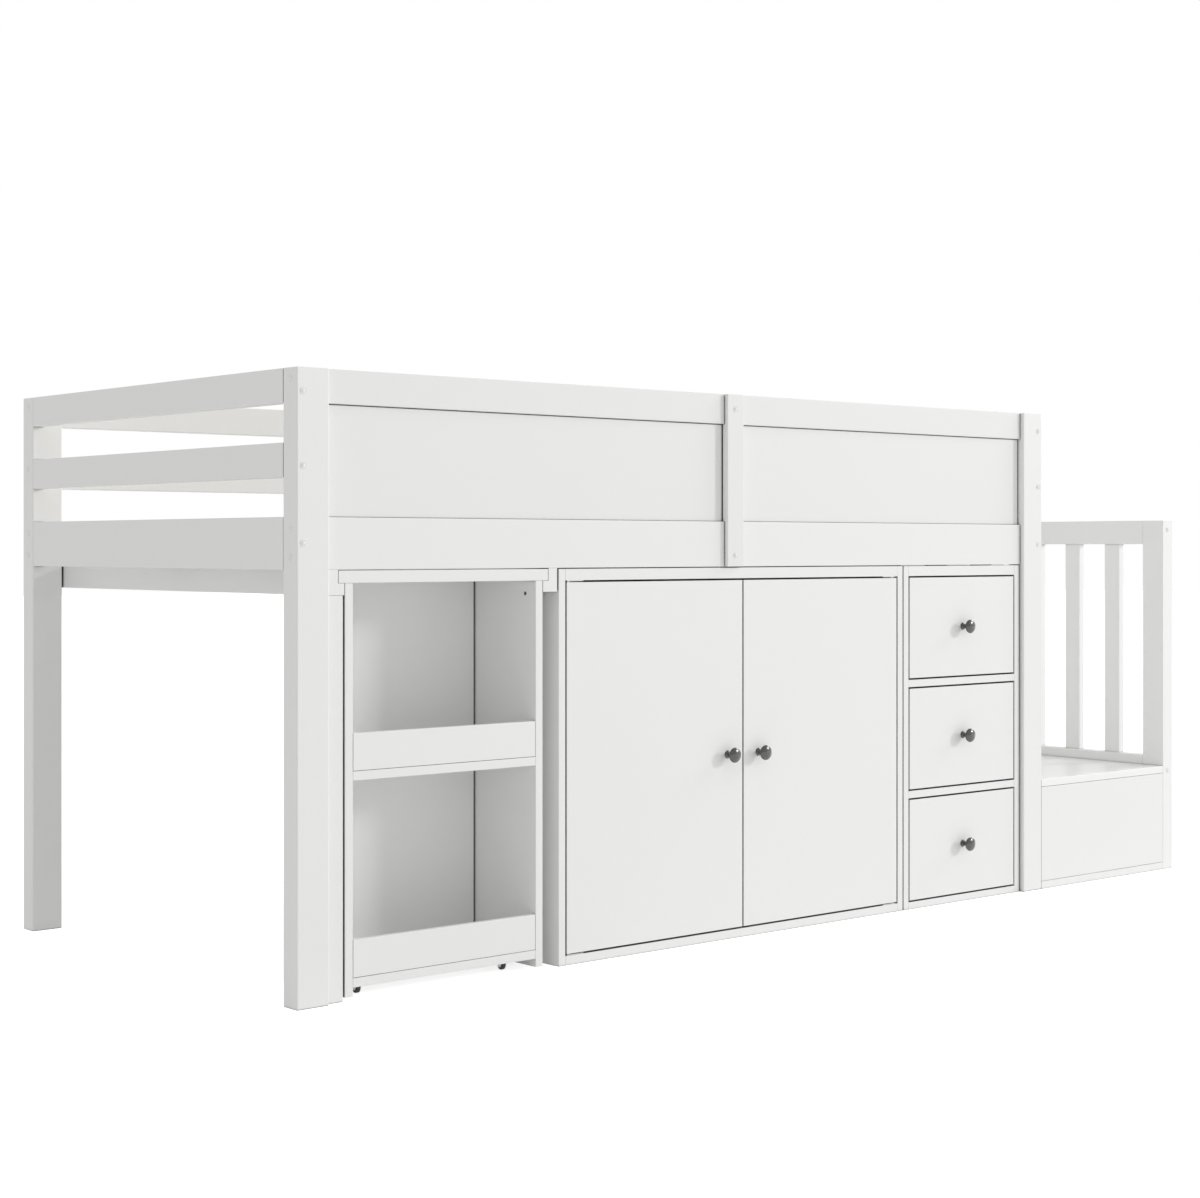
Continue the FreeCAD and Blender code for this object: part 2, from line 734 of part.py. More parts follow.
def desk():
    """Desktop that slides on the ledges of the desk rails, and the shelf unit under its front."""
    wall_left = left_desk_rail_x + desk_rail_width - desk_rebate_width
    wall_right = right_desk_rail_x + desk_rebate_width
    top_x = (wall_left + desktop_side_gap, wall_right - desktop_side_gap)
    top = block(top_x, (face_y, face_y + desktop_depth), (desktop_bottom, desktop_top), case_ease)
    inner_left, inner_right = unit_left + unit_board, unit_right - unit_board
    side_z = (unit_side_lift, desktop_bottom)
    left_side = block((unit_left, inner_left), (face_y, unit_back_y), side_z, case_ease)
    right_side = left_side.mirror(V((unit_left + unit_right) / 2, 0, 0), V(1, 0, 0))
    back_front = unit_back_y - unit_back_setback - unit_back_thickness
    shelves = []
    lips = []
    for low in (unit_floor_lift, unit_middle_lift):
        x = (inner_left, inner_right)
        shelf_top = low + unit_board
        shelves.append(block(x, (face_y, back_front), (low, shelf_top), case_ease))
        lips.append(block(x, (face_y, face_y + unit_lip_thickness), (shelf_top, shelf_top + unit_lip_height),
                          case_ease))
    back_x = (inner_left + unit_back_side_gap, inner_right - unit_back_side_gap)
    back_z = (unit_floor_lift, desktop_bottom)
    back = block(back_x, (back_front, back_front + unit_back_thickness), back_z)
    return {
        "desktop": top,
        "shelf_unit_sides": [left_side, right_side],
        "shelf_unit_shelves": shelves,
        "shelf_unit_lips": lips,
        "shelf_unit_back": back,
    }


def castor_places():
    """Name and axle middle of each castor under the shelf unit."""
    places = {}
    for end, y in (("front", face_y + castor_end_inset), ("rear", unit_back_y - castor_end_inset)):
        for side, x in (("left", unit_left + castor_side_inset), ("right", unit_right - castor_side_inset)):
            places[end + "_" + side] = V(x, y, castor_radius)
    return places


def castor_cheek(x, place):
    """One cheek of a castor bracket, narrower at the axle than at the plate."""
    top = unit_floor_lift - castor_plate_thickness
    foot = place.z - castor_cheek_foot / 2
    outline = [
        V(x, place.y - castor_cheek_foot / 2, foot),
        V(x, place.y + castor_cheek_foot / 2, foot),
        V(x, place.y + castor_plate_length / 2, top),
        V(x, place.y - castor_plate_length / 2, top),
    ]
    return prism(outline, V(castor_cheek_thickness, 0, 0))


def castor_bracket(place):
    """A folded bracket: a plate under the board, two cheeks, and the hole for the axle."""
    plate = block((place.x - castor_outer_cheek, place.x + castor_outer_cheek),
                  (place.y - castor_plate_length / 2, place.y + castor_plate_length / 2),
                  (unit_floor_lift - castor_plate_thickness, unit_floor_lift))
    starts = (place.x - castor_outer_cheek, place.x + castor_inner_cheek)
    cheeks = [castor_cheek(x, place) for x in starts]
    hole = Part.makeCylinder(castor_axle_diameter / 2, 2 * castor_outer_cheek + 2 * overrun,
                             V(place.x - castor_outer_cheek - overrun, place.y, place.z), V(1, 0, 0))
    return plate.fuse(cheeks).removeSplitter().cut(hole)


def castor_axle(place):
    """The plain pin that the wheel turns on."""
    half = castor_outer_cheek + castor_axle_overhang
    start = V(place.x - half, place.y, place.z)
    return Part.makeCylinder(castor_axle_diameter / 2, 2 * half, start, V(1, 0, 0))


def castor_wheel(place):
    """A plain wheel bored for its axle."""
    start = V(place.x - castor_wheel_width / 2, place.y, place.z)
    wheel = Part.makeCylinder(castor_radius, castor_wheel_width, start, V(1, 0, 0))
    bore = castor_axle_diameter / 2 + castor_running_clearance
    return wheel.cut(Part.makeCylinder(bore, castor_wheel_width, start, V(1, 0, 0)))


def castors():
    """Four small castors: brackets with their pins, and the wheels."""
    places = castor_places()
    fixed = []
    for place in places.values():
        fixed += [castor_bracket(place), castor_axle(place)]
    pieces = {"castor_brackets": fixed}
    for name, place in places.items():
        pieces[name + "_castor_wheel"] = castor_wheel(place)
    return pieces


def main():
    """Build every sub-part and write one file for each node."""
    makers = (
        corner_posts, front_guard, back_guard, left_end, right_end, mattress_support, bolt_caps,
        desk_rails, steps, railing, cabinet, doors, drawer_case, packing_strips, drawers, desk, castors,
    )
    os.makedirs("parts", exist_ok=True)
    for maker in makers:
        for node, pieces in maker().items():
            solids = pieces if isinstance(pieces, list) else [pieces]
            placed = [solid.translated(-origin) for solid in solids]
            shape = Part.makeCompound(placed) if len(placed) > 1 else placed[0]
            shape.exportStep("parts/" + node + ".step")


main()
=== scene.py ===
import json
import logging
import math
from dataclasses import dataclass, field
from enum import Enum
from typing import Callable, Sequence

import bpy
import numpy as np
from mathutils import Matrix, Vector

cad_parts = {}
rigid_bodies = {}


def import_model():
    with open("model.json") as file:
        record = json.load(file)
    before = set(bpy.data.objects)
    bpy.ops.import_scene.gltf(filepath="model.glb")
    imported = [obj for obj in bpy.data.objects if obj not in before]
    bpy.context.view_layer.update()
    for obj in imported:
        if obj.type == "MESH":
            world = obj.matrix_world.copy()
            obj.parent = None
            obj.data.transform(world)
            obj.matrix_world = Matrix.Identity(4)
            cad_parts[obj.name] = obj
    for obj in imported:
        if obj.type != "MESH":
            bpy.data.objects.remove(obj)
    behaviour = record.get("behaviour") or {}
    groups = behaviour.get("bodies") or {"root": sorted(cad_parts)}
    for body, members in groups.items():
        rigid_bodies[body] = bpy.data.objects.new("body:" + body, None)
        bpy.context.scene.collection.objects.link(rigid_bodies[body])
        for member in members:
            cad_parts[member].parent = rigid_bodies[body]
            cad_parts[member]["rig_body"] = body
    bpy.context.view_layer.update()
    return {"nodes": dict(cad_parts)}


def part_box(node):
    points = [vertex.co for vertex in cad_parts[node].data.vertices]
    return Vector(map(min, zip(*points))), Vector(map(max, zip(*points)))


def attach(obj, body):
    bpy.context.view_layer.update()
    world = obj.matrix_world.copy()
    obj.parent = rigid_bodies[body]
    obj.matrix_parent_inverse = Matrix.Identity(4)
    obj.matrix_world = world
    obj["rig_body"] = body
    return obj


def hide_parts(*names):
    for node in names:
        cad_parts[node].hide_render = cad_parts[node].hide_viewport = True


# A low loft bed with a pull-out desk, a cabinet, drawers and steps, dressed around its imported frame.
# Lengths are in metres on the frame's axes: X from the open end to the steps, Y to the back, Z up.

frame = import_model()
log = logging.getLogger("loft_bed")


class Axis(Enum):
    """The direction in which a board is carried, and in which its fibres run."""

    X = 0
    Y = 1
    Z = 2


class Slot(Enum):
    """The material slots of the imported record."""

    PAINT = "white_paint"
    BOARD = "white_board"
    KNOB = "knob_metal"
    STEEL = "zinc_steel"
    WHEEL = "castor_wheel"
    WOOD = "bare_wood"
    CAP = "white_cap"


class Wire:
    """A shader socket that takes part in Python expressions."""

    def __init__(self, tree: "ShaderTree", socket: bpy.types.NodeSocket) -> None:
        """Wraps a socket.

        Args:
            tree: The tree that holds the socket's node.
            socket: The output socket.
        """
        self.tree = tree
        self.socket = socket

    def math(self, operation: str, first: "Wire | float", second: "Wire | float" = 0.0) -> "Wire":
        """Adds a Math node.

        Args:
            operation: The node's operation.
            first: Its first value.
            second: Its second value, for an operation that has one.

        Returns:
            The node's result.
        """
        inputs = {0: first, 1: second}
        return self.tree.add("ShaderNodeMath", {"operation": operation}, inputs)

    def __add__(self, other: "Wire | float") -> "Wire":
        """This value plus another."""
        return self.math("ADD", self, other)

    __radd__ = __add__

    def __sub__(self, other: "Wire | float") -> "Wire":
        """This value less another."""
        return self.math("SUBTRACT", self, other)

    def __rsub__(self, other: float) -> "Wire":
        """A number less this value."""
        return self.math("SUBTRACT", other, self)

    def __mul__(self, other: "Wire | float") -> "Wire":
        """This value times another."""
        return self.math("MULTIPLY", self, other)

    __rmul__ = __mul__

    def __pow__(self, other: float) -> "Wire":
        """This value to a power."""
        return self.math("POWER", self, other)

    def __or__(self, other: "Wire") -> "Wire":
        """The larger of two masks."""
        return self.math("MAXIMUM", self, other)

    def sine(self) -> "Wire":
        """The sine of this value."""
        return self.math("SINE", self)


class ShaderTree:
    """The node tree of a material or of the world."""

    def __init__(self, owner: "bpy.types.Material | bpy.types.World") -> None:
        """Clears the owner's tree and gives it an output.

        Args:
            owner: The material or world.
        """
        owner.use_nodes = True
        self.nodes = owner.node_tree.nodes
        self.links = owner.node_tree.links
        self.nodes.clear()
        kind = "World" if isinstance(owner, bpy.types.World) else "Material"
        self.output = self.nodes.new("ShaderNodeOutput" + kind)

    def add(self, kind: str, settings: dict | None = None, inputs: dict | None = None,
            output: int | str = 0) -> Wire:
        """Adds a node.

        Args:
            kind: The node's type.
            settings: Its properties, set first.
            inputs: Values and wires by the name or number of its sockets.
            output: The name or number of the socket that is returned.

        Returns:
            The chosen output.
        """
        node = self.nodes.new(kind)
        for name, value in (settings or {}).items():
            setattr(node, name, value)
        for name, value in (inputs or {}).items():
            if isinstance(value, Wire):
                self.links.new(value.socket, node.inputs[name])
            else:
                node.inputs[name].default_value = value
        return Wire(self, node.outputs[output])

    def finish(self, shader: Wire) -> None:
        """Links a shader to the output."""
        self.links.new(shader.socket, self.output.inputs["Surface"])

    def place(self) -> Wire:
        """The object's own coordinates, which are the frame's."""
        return self.add("ShaderNodeTexCoord", output="Object")

    def board(self) -> Wire:
        """A number of its own for every board, so that no two share their figure."""
        settings = {"attribute_type": "GEOMETRY", "attribute_name": "board"}
        return self.add("ShaderNodeAttribute", settings, output="Fac")

    def drawn_out(self, place: Wire, axis: Axis, along: float, across: float) -> Wire:
        """Coordinates multiplied by one number along an axis, and by another across it."""
        scale = [along if axis == one else across for one in Axis]
        return self.add("ShaderNodeMapping", {"vector_type": "POINT"}, {"Vector": place, "Scale": scale})

    def noise(self, place: Wire, scale: float, detail: float = 2.0, rough: float = 0.5,
              own: Wire | None = None) -> Wire:
        """Smooth noise around one half.

        Args:
            place: The coordinates.
            scale: The number of blobs in a metre.
            detail: The number of finer layers.
            rough: The strength of the finer layers.
            own: A number that picks another noise for each board.

        Returns:
            The noise.
        """
        inputs = {"Vector": place, "Scale": scale, "Detail": detail, "Roughness": rough}
        if own is not None:
            inputs["W"] = own
        settings = {"noise_dimensions": "3D" if own is None else "4D"}
        return self.add("ShaderNodeTexNoise", settings, inputs, "Fac")

    def between(self, mask: "Wire | float", first: "Wire | tuple", second: "Wire | tuple") -> Wire:
        """A colour that goes from the first to the second as the mask goes from 0 to 1."""
        # Sockets 6 and 7 are the Mix node's two colours, and output 2 is the mixed one.
        ends = [colour if isinstance(colour, Wire) else (*colour, 1.0) for colour in (first, second)]
        return self.add("ShaderNodeMix", {"data_type": "RGBA"}, {0: mask, 6: ends[0], 7: ends[1]}, 2)

    def seam(self, reach: float, most: float, slope: float) -> Wire:
        """How far a point is shut in by what stands near it: 0 in the open, and 1 deep in a gap.

        Args:
            reach: How near, in metres.
            most: The value where nothing is open.
            slope: What an open share of 1 takes off it.

        Returns:
            The mask: the square of that value, once it is held between 0 and 1.
        """
        # Ambient occlusion: this mask paints shade into a coat's seams.
        free = self.add("ShaderNodeAmbientOcclusion", {"samples": 6}, {"Distance": reach}, "AO")
        return self.add("ShaderNodeClamp", {}, {"Value": most - slope * free}) ** 2.0

    def relief(self, height: Wire, depth: float) -> Wire:
        """A normal bumped by a height from 0 to 1, where 1 stands for a depth in metres."""
        inputs = {"Height": height, "Distance": depth, "Strength": 1.0}
        return self.add("ShaderNodeBump", {}, inputs, "Normal")


@dataclass(frozen=True)
class Finish:
    """A finish, made as a material when it is first used."""

    name: str
    slot: Slot

    def material(self) -> bpy.types.Material:
        """The finish as a material.

        Returns:
            The material, which all pieces with this finish share.
        """
        made = bpy.data.materials.get(self.name)
        if made is None:
            made = bpy.data.materials.new(self.name)
            tree = ShaderTree(made)
            tree.finish(self.shade(tree))
        return made

    def shade(self, tree: ShaderTree) -> Wire:
        """The finish's shader, in a tree of its own."""
        raise NotImplementedError


@dataclass(frozen=True)
class SprayedWhite(Finish):
    """A white coat: clouds of tone, a figure, the skin that a spray leaves, and painted shade in the seams.

    Attributes:
        low: Its darkest tone.
        high: Its lightest tone.
        gloss: Its roughness.
        cloud_scale: The number of clouds in a metre.
        cloud_detail: The strength of the clouds' finer layers.
        cloud_gloss: How far the clouds change the roughness.
        figure_tone: The figure's share of the tone, of which the clouds have the rest.
        figure_gloss: How far the figure changes the roughness.
        figure_relief: The figure's share of the relief, of which the skin has the rest.
        skin_scale: The number of grains of skin in a metre.
        relief_depth: The depth of the relief, in metres.
        painted_seam_shade_tone: The tone of the painted shade in the seams.
        seam: For the painted shade, how near other faces stand in a seam, in metres, and the mask's start and
            slope.
        specular: The strength of its reflection.
    """

    low: tuple = (0.880, 0.880, 0.868)
    high: tuple = (0.905, 0.905, 0.895)
    gloss: float = 0.46
    cloud_scale: float = 2.6
    cloud_detail: float = 0.55
    cloud_gloss: float = 0.10
    figure_tone: float = 0.28
    figure_gloss: float = 0.12
    figure_relief: float = 0.62
    skin_scale: float = 620.0
    relief_depth: float = 0.00006
    painted_seam_shade_tone: tuple = (0.05, 0.049, 0.047)
    seam: tuple = (0.008, 1.46, 1.85)
    specular: float = 0.4

    def figure(self, tree: ShaderTree, place: Wire, own: Wire) -> Wire:
        """A noise of the coat's own, at a place on a board."""
        raise NotImplementedError

    def shade(self, tree: ShaderTree) -> Wire:
        """The coat, with painted shade in its seams.

        Args:
            tree: The material's tree.

        Returns:
            The shader.
        """
        place, own = tree.place(), tree.board()
        figure = self.figure(tree, place, own)
        cloud = tree.noise(place, self.cloud_scale, detail=3.0, rough=self.cloud_detail, own=own)
        skin = tree.noise(place, self.skin_scale, detail=1.0)
        mixed = (1 - self.figure_tone) * cloud + self.figure_tone * figure
        coat = tree.between(mixed, self.low, self.high)
        # Painted shade: the coat turns towards a dark tone where other faces stand near.
        tone = tree.between(tree.seam(*self.seam), coat, self.painted_seam_shade_tone)
        gloss = self.gloss + self.cloud_gloss * (cloud - 0.5) + self.figure_gloss * (figure - 0.5)
        height = self.figure_relief * figure + (1 - self.figure_relief) * skin
        return tree.add("ShaderNodeBsdfPrincipled", {}, {
            "Base Color": tone, "Roughness": gloss, "Normal": tree.relief(height, self.relief_depth),
            "Specular IOR Level": self.specular})


@dataclass(frozen=True)
class SatinPaint(SprayedWhite):
    """Satin paint over solid wood, whose fibres still show faintly through it."""

    grain: Axis = Axis.X
    fibre_scales: tuple = (5.0, 260.0)

    def figure(self, tree: ShaderTree, place: Wire, own: Wire) -> Wire:
        """Long fibres, by the number of them in a metre along and across the grain."""
        fibres = tree.drawn_out(place, self.grain, *self.fibre_scales)
        return tree.noise(fibres, 1.0, detail=3.0, rough=0.6, own=own)


@dataclass(frozen=True)
class BoardPaint(SprayedWhite):
    """Satin lacquer over smooth board, which has flowed a little."""

    low: tuple = (0.884, 0.884, 0.874)
    high: tuple = (0.905, 0.905, 0.897)
    gloss: float = 0.42
    cloud_scale: float = 1.9
    cloud_detail: float = 0.5
    cloud_gloss: float = 0.06
    figure_tone: float = 0.2
    figure_gloss: float = 0.08
    figure_relief: float = 0.5
    skin_scale: float = 540.0
    relief_depth: float = 0.00004
    ripple_scale: float = 70.0

    def figure(self, tree: ShaderTree, place: Wire, own: Wire) -> Wire:
        """A slow ripple."""
        return tree.noise(place, self.ripple_scale, own=own)


@dataclass(frozen=True)
class BarePine(Finish):
    """Sanded softwood without a coat.

    Attributes:
        grain: The direction of its fibres.
        early: The tone of the early wood.
        late: The tone of the late wood.
        fibre: The tone of the fibres.
        ring_scales: The noise of the rings in a metre, along and across the grain.
        ring_spread: What both of these are multiplied by.
        warp: The number of rings in that noise.
        fibre_scales: The number of fibres in a metre, along and across the grain.
        fibre_tone: The fibres' share of the tone.
        fibre_relief: Their share of the relief, of which the late wood has the rest.
        gloss: The roughness.
        fibre_gloss: How far the fibres change it.
        late_gloss: How far the late wood changes it.
        relief_depth: The depth of the relief, in metres.
    """

    grain: Axis = Axis.Y
    early: tuple = (0.87, 0.84, 0.77)
    late: tuple = (0.81, 0.75, 0.66)
    fibre: tuple = (0.90, 0.87, 0.81)
    ring_scales: tuple = (0.9, 26.0)
    ring_spread: float = 0.55
    warp: float = 9.0
    fibre_scales: tuple = (14.0, 900.0)
    fibre_tone: float = 0.35
    fibre_relief: float = 0.7
    gloss: float = 0.62
    fibre_gloss: float = 0.14
    late_gloss: float = -0.08
    relief_depth: float = 0.00012

    def shade(self, tree: ShaderTree) -> Wire:
        """Bands of early and late wood drawn out along the board, with fine fibres over them.

        The late wood is the third power of one half plus half the sine of a slow noise.

        Args:
            tree: The material's tree.

        Returns:
            The shader.
        """
        place, own = tree.place(), tree.board()
        rings = tree.drawn_out(place, self.grain, *self.ring_scales)
        fibres = tree.drawn_out(place, self.grain, *self.fibre_scales)
        drift = tree.noise(rings, self.ring_spread, own=own)
        late = (0.5 + 0.5 * (drift * self.warp * 2.0 * math.pi).sine()) ** 3.0
        fibre = tree.noise(fibres, 1.0, rough=0.6, own=own)
        wood = tree.between(late, self.early, self.late)
        tone = tree.between(self.fibre_tone * fibre, wood, self.fibre)
        gloss = self.gloss + self.fibre_gloss * (fibre - 0.5) + self.late_gloss * late
        height = self.fibre_relief * fibre + (1 - self.fibre_relief) * late
        return tree.add("ShaderNodeBsdfPrincipled", {}, {
            "Base Color": tone, "Roughness": gloss, "Normal": tree.relief(height, self.relief_depth)})


@dataclass(frozen=True)
class TwoPatterns(Finish):
    """A finish that two patterns change, the second of which is in its relief too.

    Attributes:
        low: Its darkest tone.
        high: Its lightest tone.
        gloss: Its mean roughness.
        tones: What each pattern adds to the tone.
        glosses: How far each pattern changes the roughness.
        relief_depth: The depth of the relief, in metres.
        metal: How metallic it is.
        coat: The weight and the roughness of the clear coat.
    """

    low: tuple = (0.028, 0.028, 0.026)
    high: tuple = (0.052, 0.052, 0.048)
    gloss: float = 0.5
    tones: tuple = (0.7, 0.3)
    glosses: tuple = (0.08, 0.15)
    relief_depth: float = 0.00001
    metal: float = 0.0
    coat: tuple = (0.0, 0.03)

    def patterns(self, tree: ShaderTree) -> tuple[Wire, Wire]:
        """The two patterns, each from 0 to 1."""
        raise NotImplementedError

    def shade(self, tree: ShaderTree) -> Wire:
        """The tone, gloss and relief that the patterns give.

        Args:
            tree: The material's tree.

        Returns:
            The shader.
        """
        first, second = self.patterns(tree)
        tone = tree.between(self.tones[0] * first + self.tones[1] * second, self.low, self.high)
        gloss = self.gloss + self.glosses[0] * (first - 0.5) + self.glosses[1] * (second - 0.5)
        return tree.add("ShaderNodeBsdfPrincipled", {}, {
            "Base Color": tone, "Roughness": gloss, "Metallic": self.metal, "Coat Weight": self.coat[0],
            "Coat Roughness": self.coat[1], "Normal": tree.relief(second, self.relief_depth)})


@dataclass(frozen=True)
class Gunmetal(TwoPatterns):
    """Dark turned metal with marks of handling, and fine rings from the lathe along its profile."""

    low: tuple = (0.036, 0.037, 0.035)
    high: tuple = (0.088, 0.091, 0.086)
    gloss: float = 0.26
    tones: tuple = (0.7, 0.1)
    glosses: tuple = (0.22, 0.04)
    relief_depth: float = 0.000006
    metal: float = 0.92
    coat: tuple = (0.9, 0.15)
    mark_scale: float = 230.0
    rings_per_metre: float = 5200.0

    def patterns(self, tree: ShaderTree) -> tuple[Wire, Wire]:
        """The marks, and the rings as the sine of the way along the profile."""
        along = tree.add("ShaderNodeSeparateXYZ", {}, {0: tree.add("ShaderNodeTexCoord", output="UV")}, 1)
        return (tree.noise(tree.place(), self.mark_scale, detail=3.0, rough=0.6),
                0.5 + 0.5 * (along * self.rings_per_metre).sine())


@dataclass(frozen=True)
class ZincSteel(TwoPatterns):
    """Zinc-plated sheet and screws with blotches and a faint crystal pattern."""

    low: tuple = (0.46, 0.46, 0.47)
    high: tuple = (0.68, 0.68, 0.67)
    gloss: float = 0.40
    tones: tuple = (0.4, 0.6)
    glosses: tuple = (0.2, 0.12)
    metal: float = 0.95
    blotch_scale: float = 900.0
    crystal_scale: float = 420.0

    def patterns(self, tree: ShaderTree) -> tuple[Wire, Wire]:
        """The blotches, and the crystals as cells."""
        cells = {"Vector": tree.place(), "Scale": self.crystal_scale}
        return (tree.noise(tree.place(), self.blotch_scale),
                tree.add("ShaderNodeTexVoronoi", {"feature": "F1"}, cells))


@dataclass(frozen=True)
class MouldedPlastic(TwoPatterns):
    """Moulded plastic with flow marks and the fine spark texture of its mould."""

    flow_scale: float = 60.0
    spark_scale: float = 2600.0

    def patterns(self, tree: ShaderTree) -> tuple[Wire, Wire]:
        """The flow marks and the sparks."""
        return tree.noise(tree.place(), self.flow_scale), tree.noise(tree.place(), self.spark_scale)


PAINT = {axis: SatinPaint("satin_paint_fibres_" + way, Slot.PAINT, grain=axis)
         for axis, way in ((Axis.X, "along"), (Axis.Y, "across"), (Axis.Z, "upright"))}
# Darker copies of the paint for the guard's top rail and stile: painted shade.
GUARD_PAINTED_SHADE = {axis: SatinPaint("guard_paint_" + axis.name.lower(), Slot.PAINT, (0.850, 0.850, 0.838),
                          (0.875, 0.875, 0.865), grain=axis) for axis in (Axis.X, Axis.Z)}
# Lighter copies of the paint for the railing: painted light.
RAILING_PAINTED_LIGHT = {axis: SatinPaint("railing_paint_" + axis.name.lower(), Slot.PAINT, (0.915, 0.914, 0.903),
                            (0.935, 0.934, 0.925), grain=axis) for axis in (Axis.Y, Axis.Z)}
BOARD = BoardPaint("satin_lacquer_on_board", Slot.BOARD)
# A darker copy of the lacquer for the panels: painted shade.
PANEL_PAINTED_SHADE = BoardPaint("satin_lacquer_on_panels", Slot.BOARD, (0.860, 0.860, 0.850), (0.882, 0.882, 0.874))
# A lighter copy of the lacquer for the treads: its lighter tone is painted light, and its lower roughness
# makes it glossier.
TREAD_PAINTED_LIGHT = BoardPaint("glossier_lacquer_on_treads", Slot.BOARD, (0.935, 0.935, 0.925), (0.955, 0.955, 0.948),
                   gloss=0.30)
PINE_X = BarePine("bare_pine_along", Slot.WOOD, Axis.X)
PINE_Y = BarePine("bare_pine_across", Slot.WOOD, Axis.Y)
GUNMETAL = Gunmetal("turned_gunmetal", Slot.KNOB)
ZINC = ZincSteel("zinc_plated_steel", Slot.STEEL)
WHEEL = MouldedPlastic("dark_wheel_plastic", Slot.WHEEL)
CAP = MouldedPlastic("white_cap_plastic", Slot.CAP, (0.86, 0.86, 0.85), (0.90, 0.90, 0.89), 0.33,
                     spark_scale=1500.0)

# The weight of large faces in the normals, how near vertices are joined, in metres, and the bends past
# which an edge is softened and past which the normals on its two sides part.
FLAT_WEIGHT = 80
JOINED_WITHIN = 0.00001
SOFTENED_PAST = math.radians(30)
PARTED_PAST = math.radians(50)

# The steps, for each board and for each letter of the piece's name, of the number that picks its figure.
BOARD_STEP = 7.3
LETTER_STEP = 1.7

# How many digits tell vertices apart, and how many put solids in order.
VERTEX_DIGITS = 6
ORDER_DIGITS = 4

# A millimetre, how near two points of a line are one, in metres, and the share of Z in a turned shape's
# axis past which it counts as upright.
TO_METRES = 0.001
SAME_PLACE = 1e-6
UPRIGHT = 0.9


@dataclass
class Surface:
    """The points and faces of one closed shape.

    Attributes:
        points: One row (x, y, z) for each vertex.
        faces: The vertex numbers of each face, anticlockwise from outside.
        turning: One (u, v) for each corner of the faces, in their order.
    """

    points: np.ndarray
    faces: list[list[int]]
    turning: np.ndarray


@dataclass(frozen=True)
class Solid:
    """One solid of a CAD node: its lowest and highest corners and the mean of its vertices."""

    low: np.ndarray
    high: np.ndarray
    mean: np.ndarray

    @property
    def middle(self) -> np.ndarray:
        """The middle of its box."""
        return (self.low + self.high) / 2

    @classmethod
    def block(cls, x: tuple[float, float], y: tuple[float, float], z: tuple[float, float]) -> "Solid":
        """A block between two places on each axis."""
        low, high = np.array([x, y, z], float).T
        return cls(low, high, (low + high) / 2)


def solids_of(node: str) -> list[Solid]:
    """The separate solids of a CAD node.

    Vertices at one place count as one. Every triangle gives its corners the smallest of their labels,
    again and again, until each solid has a label of its own.

    Args:
        node: The node's name.

    Returns:
        The solids, in order of X, then Y, then Z.
    """
    mesh = frame["nodes"][node].data
    places = np.empty(len(mesh.vertices) * 3)
    mesh.vertices.foreach_get("co", places)
    corners = np.empty(len(mesh.loops), dtype=np.int64)
    mesh.loops.foreach_get("vertex_index", corners)
    points, number = np.unique(np.round(places.reshape(-1, 3), VERTEX_DIGITS), axis=0, return_inverse=True)
    triangles = number.reshape(-1)[corners].reshape(-1, 3)
    label = np.arange(len(points))
    while True:
        lower = label.copy()
        np.minimum.at(lower, triangles, label[triangles].min(axis=1, keepdims=True))
        if np.array_equal(lower, label):
            break
        label = lower
    groups = [points[label == one] for one in np.unique(label)]
    found = [Solid(group.min(axis=0), group.max(axis=0), group.mean(axis=0)) for group in groups]
    return sorted(found, key=lambda solid: tuple(np.round(solid.low, ORDER_DIGITS)))


def box_of(node: str) -> Solid:
    """The box of a CAD node, as one block."""
    low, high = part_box(node)
    return Solid.block((low.x, high.x), (low.y, high.y), (low.z, high.z))


def closed_tube(rings: np.ndarray, along: np.ndarray) -> Surface:
    """A surface through a stack of rings, with a flat face over the first and the last.

    Face (i, j) joins points (i, j), (i, j + 1), (i + 1, j + 1) and (i + 1, j), where j goes round.

    Args:
        rings: Points with the shape (rings, points in a ring, 3), each ring anticlockwise about the
            way from the first ring to the last.
        along: The second texture coordinate of each ring.

    Returns:
        The surface.
    """
    count, around = rings.shape[:2]
    i, j = (a.reshape(-1) for a in np.meshgrid(np.arange(count - 1), np.arange(around), indexing="ij"))
    rows = np.stack([i, i, i + 1, i + 1], axis=1)
    columns = np.stack([j, j + 1, j + 1, j], axis=1)
    end = np.arange(around)
    faces = (rows * around + columns % around).tolist()
    faces += [end[::-1].tolist(), (end + (count - 1) * around).tolist()]
    side = np.stack([columns / around, along[rows]], axis=-1).reshape(-1, 2)
    ends = np.stack([np.full(2 * around, 0.5), np.repeat(along[[0, -1]], around)], axis=-1)
    return Surface(rings.reshape(-1, 3), faces, np.concatenate([side, ends]))


def rounded_outline(corners: np.ndarray, radii: np.ndarray, inset: np.ndarray, steps: int) -> np.ndarray:
    """An outline of straight runs whose corners are arcs, drawn in by each of several distances.

    The arc at a corner P, between the incoming direction a and the outgoing direction b, has its
    centre at P - r a + r b and its points at centre + s (a sin t - b cos t), with t from 0 to a
    quarter turn. s is the radius less the inset at an outer corner, and the radius plus the inset at
    an inner one, so that every straight run moves in by the inset.

    Args:
        corners: The outline's corners (u, v), anticlockwise, all right angles.
        radii: The radius at each corner.
        inset: The distances.
        steps: The number of parts of each arc.

    Returns:
        Points with the shape (distances, points, 2).
    """
    incoming = corners - np.roll(corners, 1, axis=0)
    incoming = incoming / np.linalg.norm(incoming, axis=1, keepdims=True)
    outgoing = np.roll(incoming, -1, axis=0)
    turn = np.sign(incoming[:, 0] * outgoing[:, 1] - incoming[:, 1] * outgoing[:, 0])
    centre = corners + radii[:, None] * (outgoing - incoming)
    angle = np.linspace(0.0, math.pi / 2, steps + 1)[None, :, None]
    way = incoming[:, None] * np.sin(angle) - outgoing[:, None] * np.cos(angle)
    reach = radii[None] - turn[None] * inset[:, None]
    points = centre[None, :, None] + reach[:, :, None, None] * way[None]
    return points.reshape(len(inset), -1, 2)


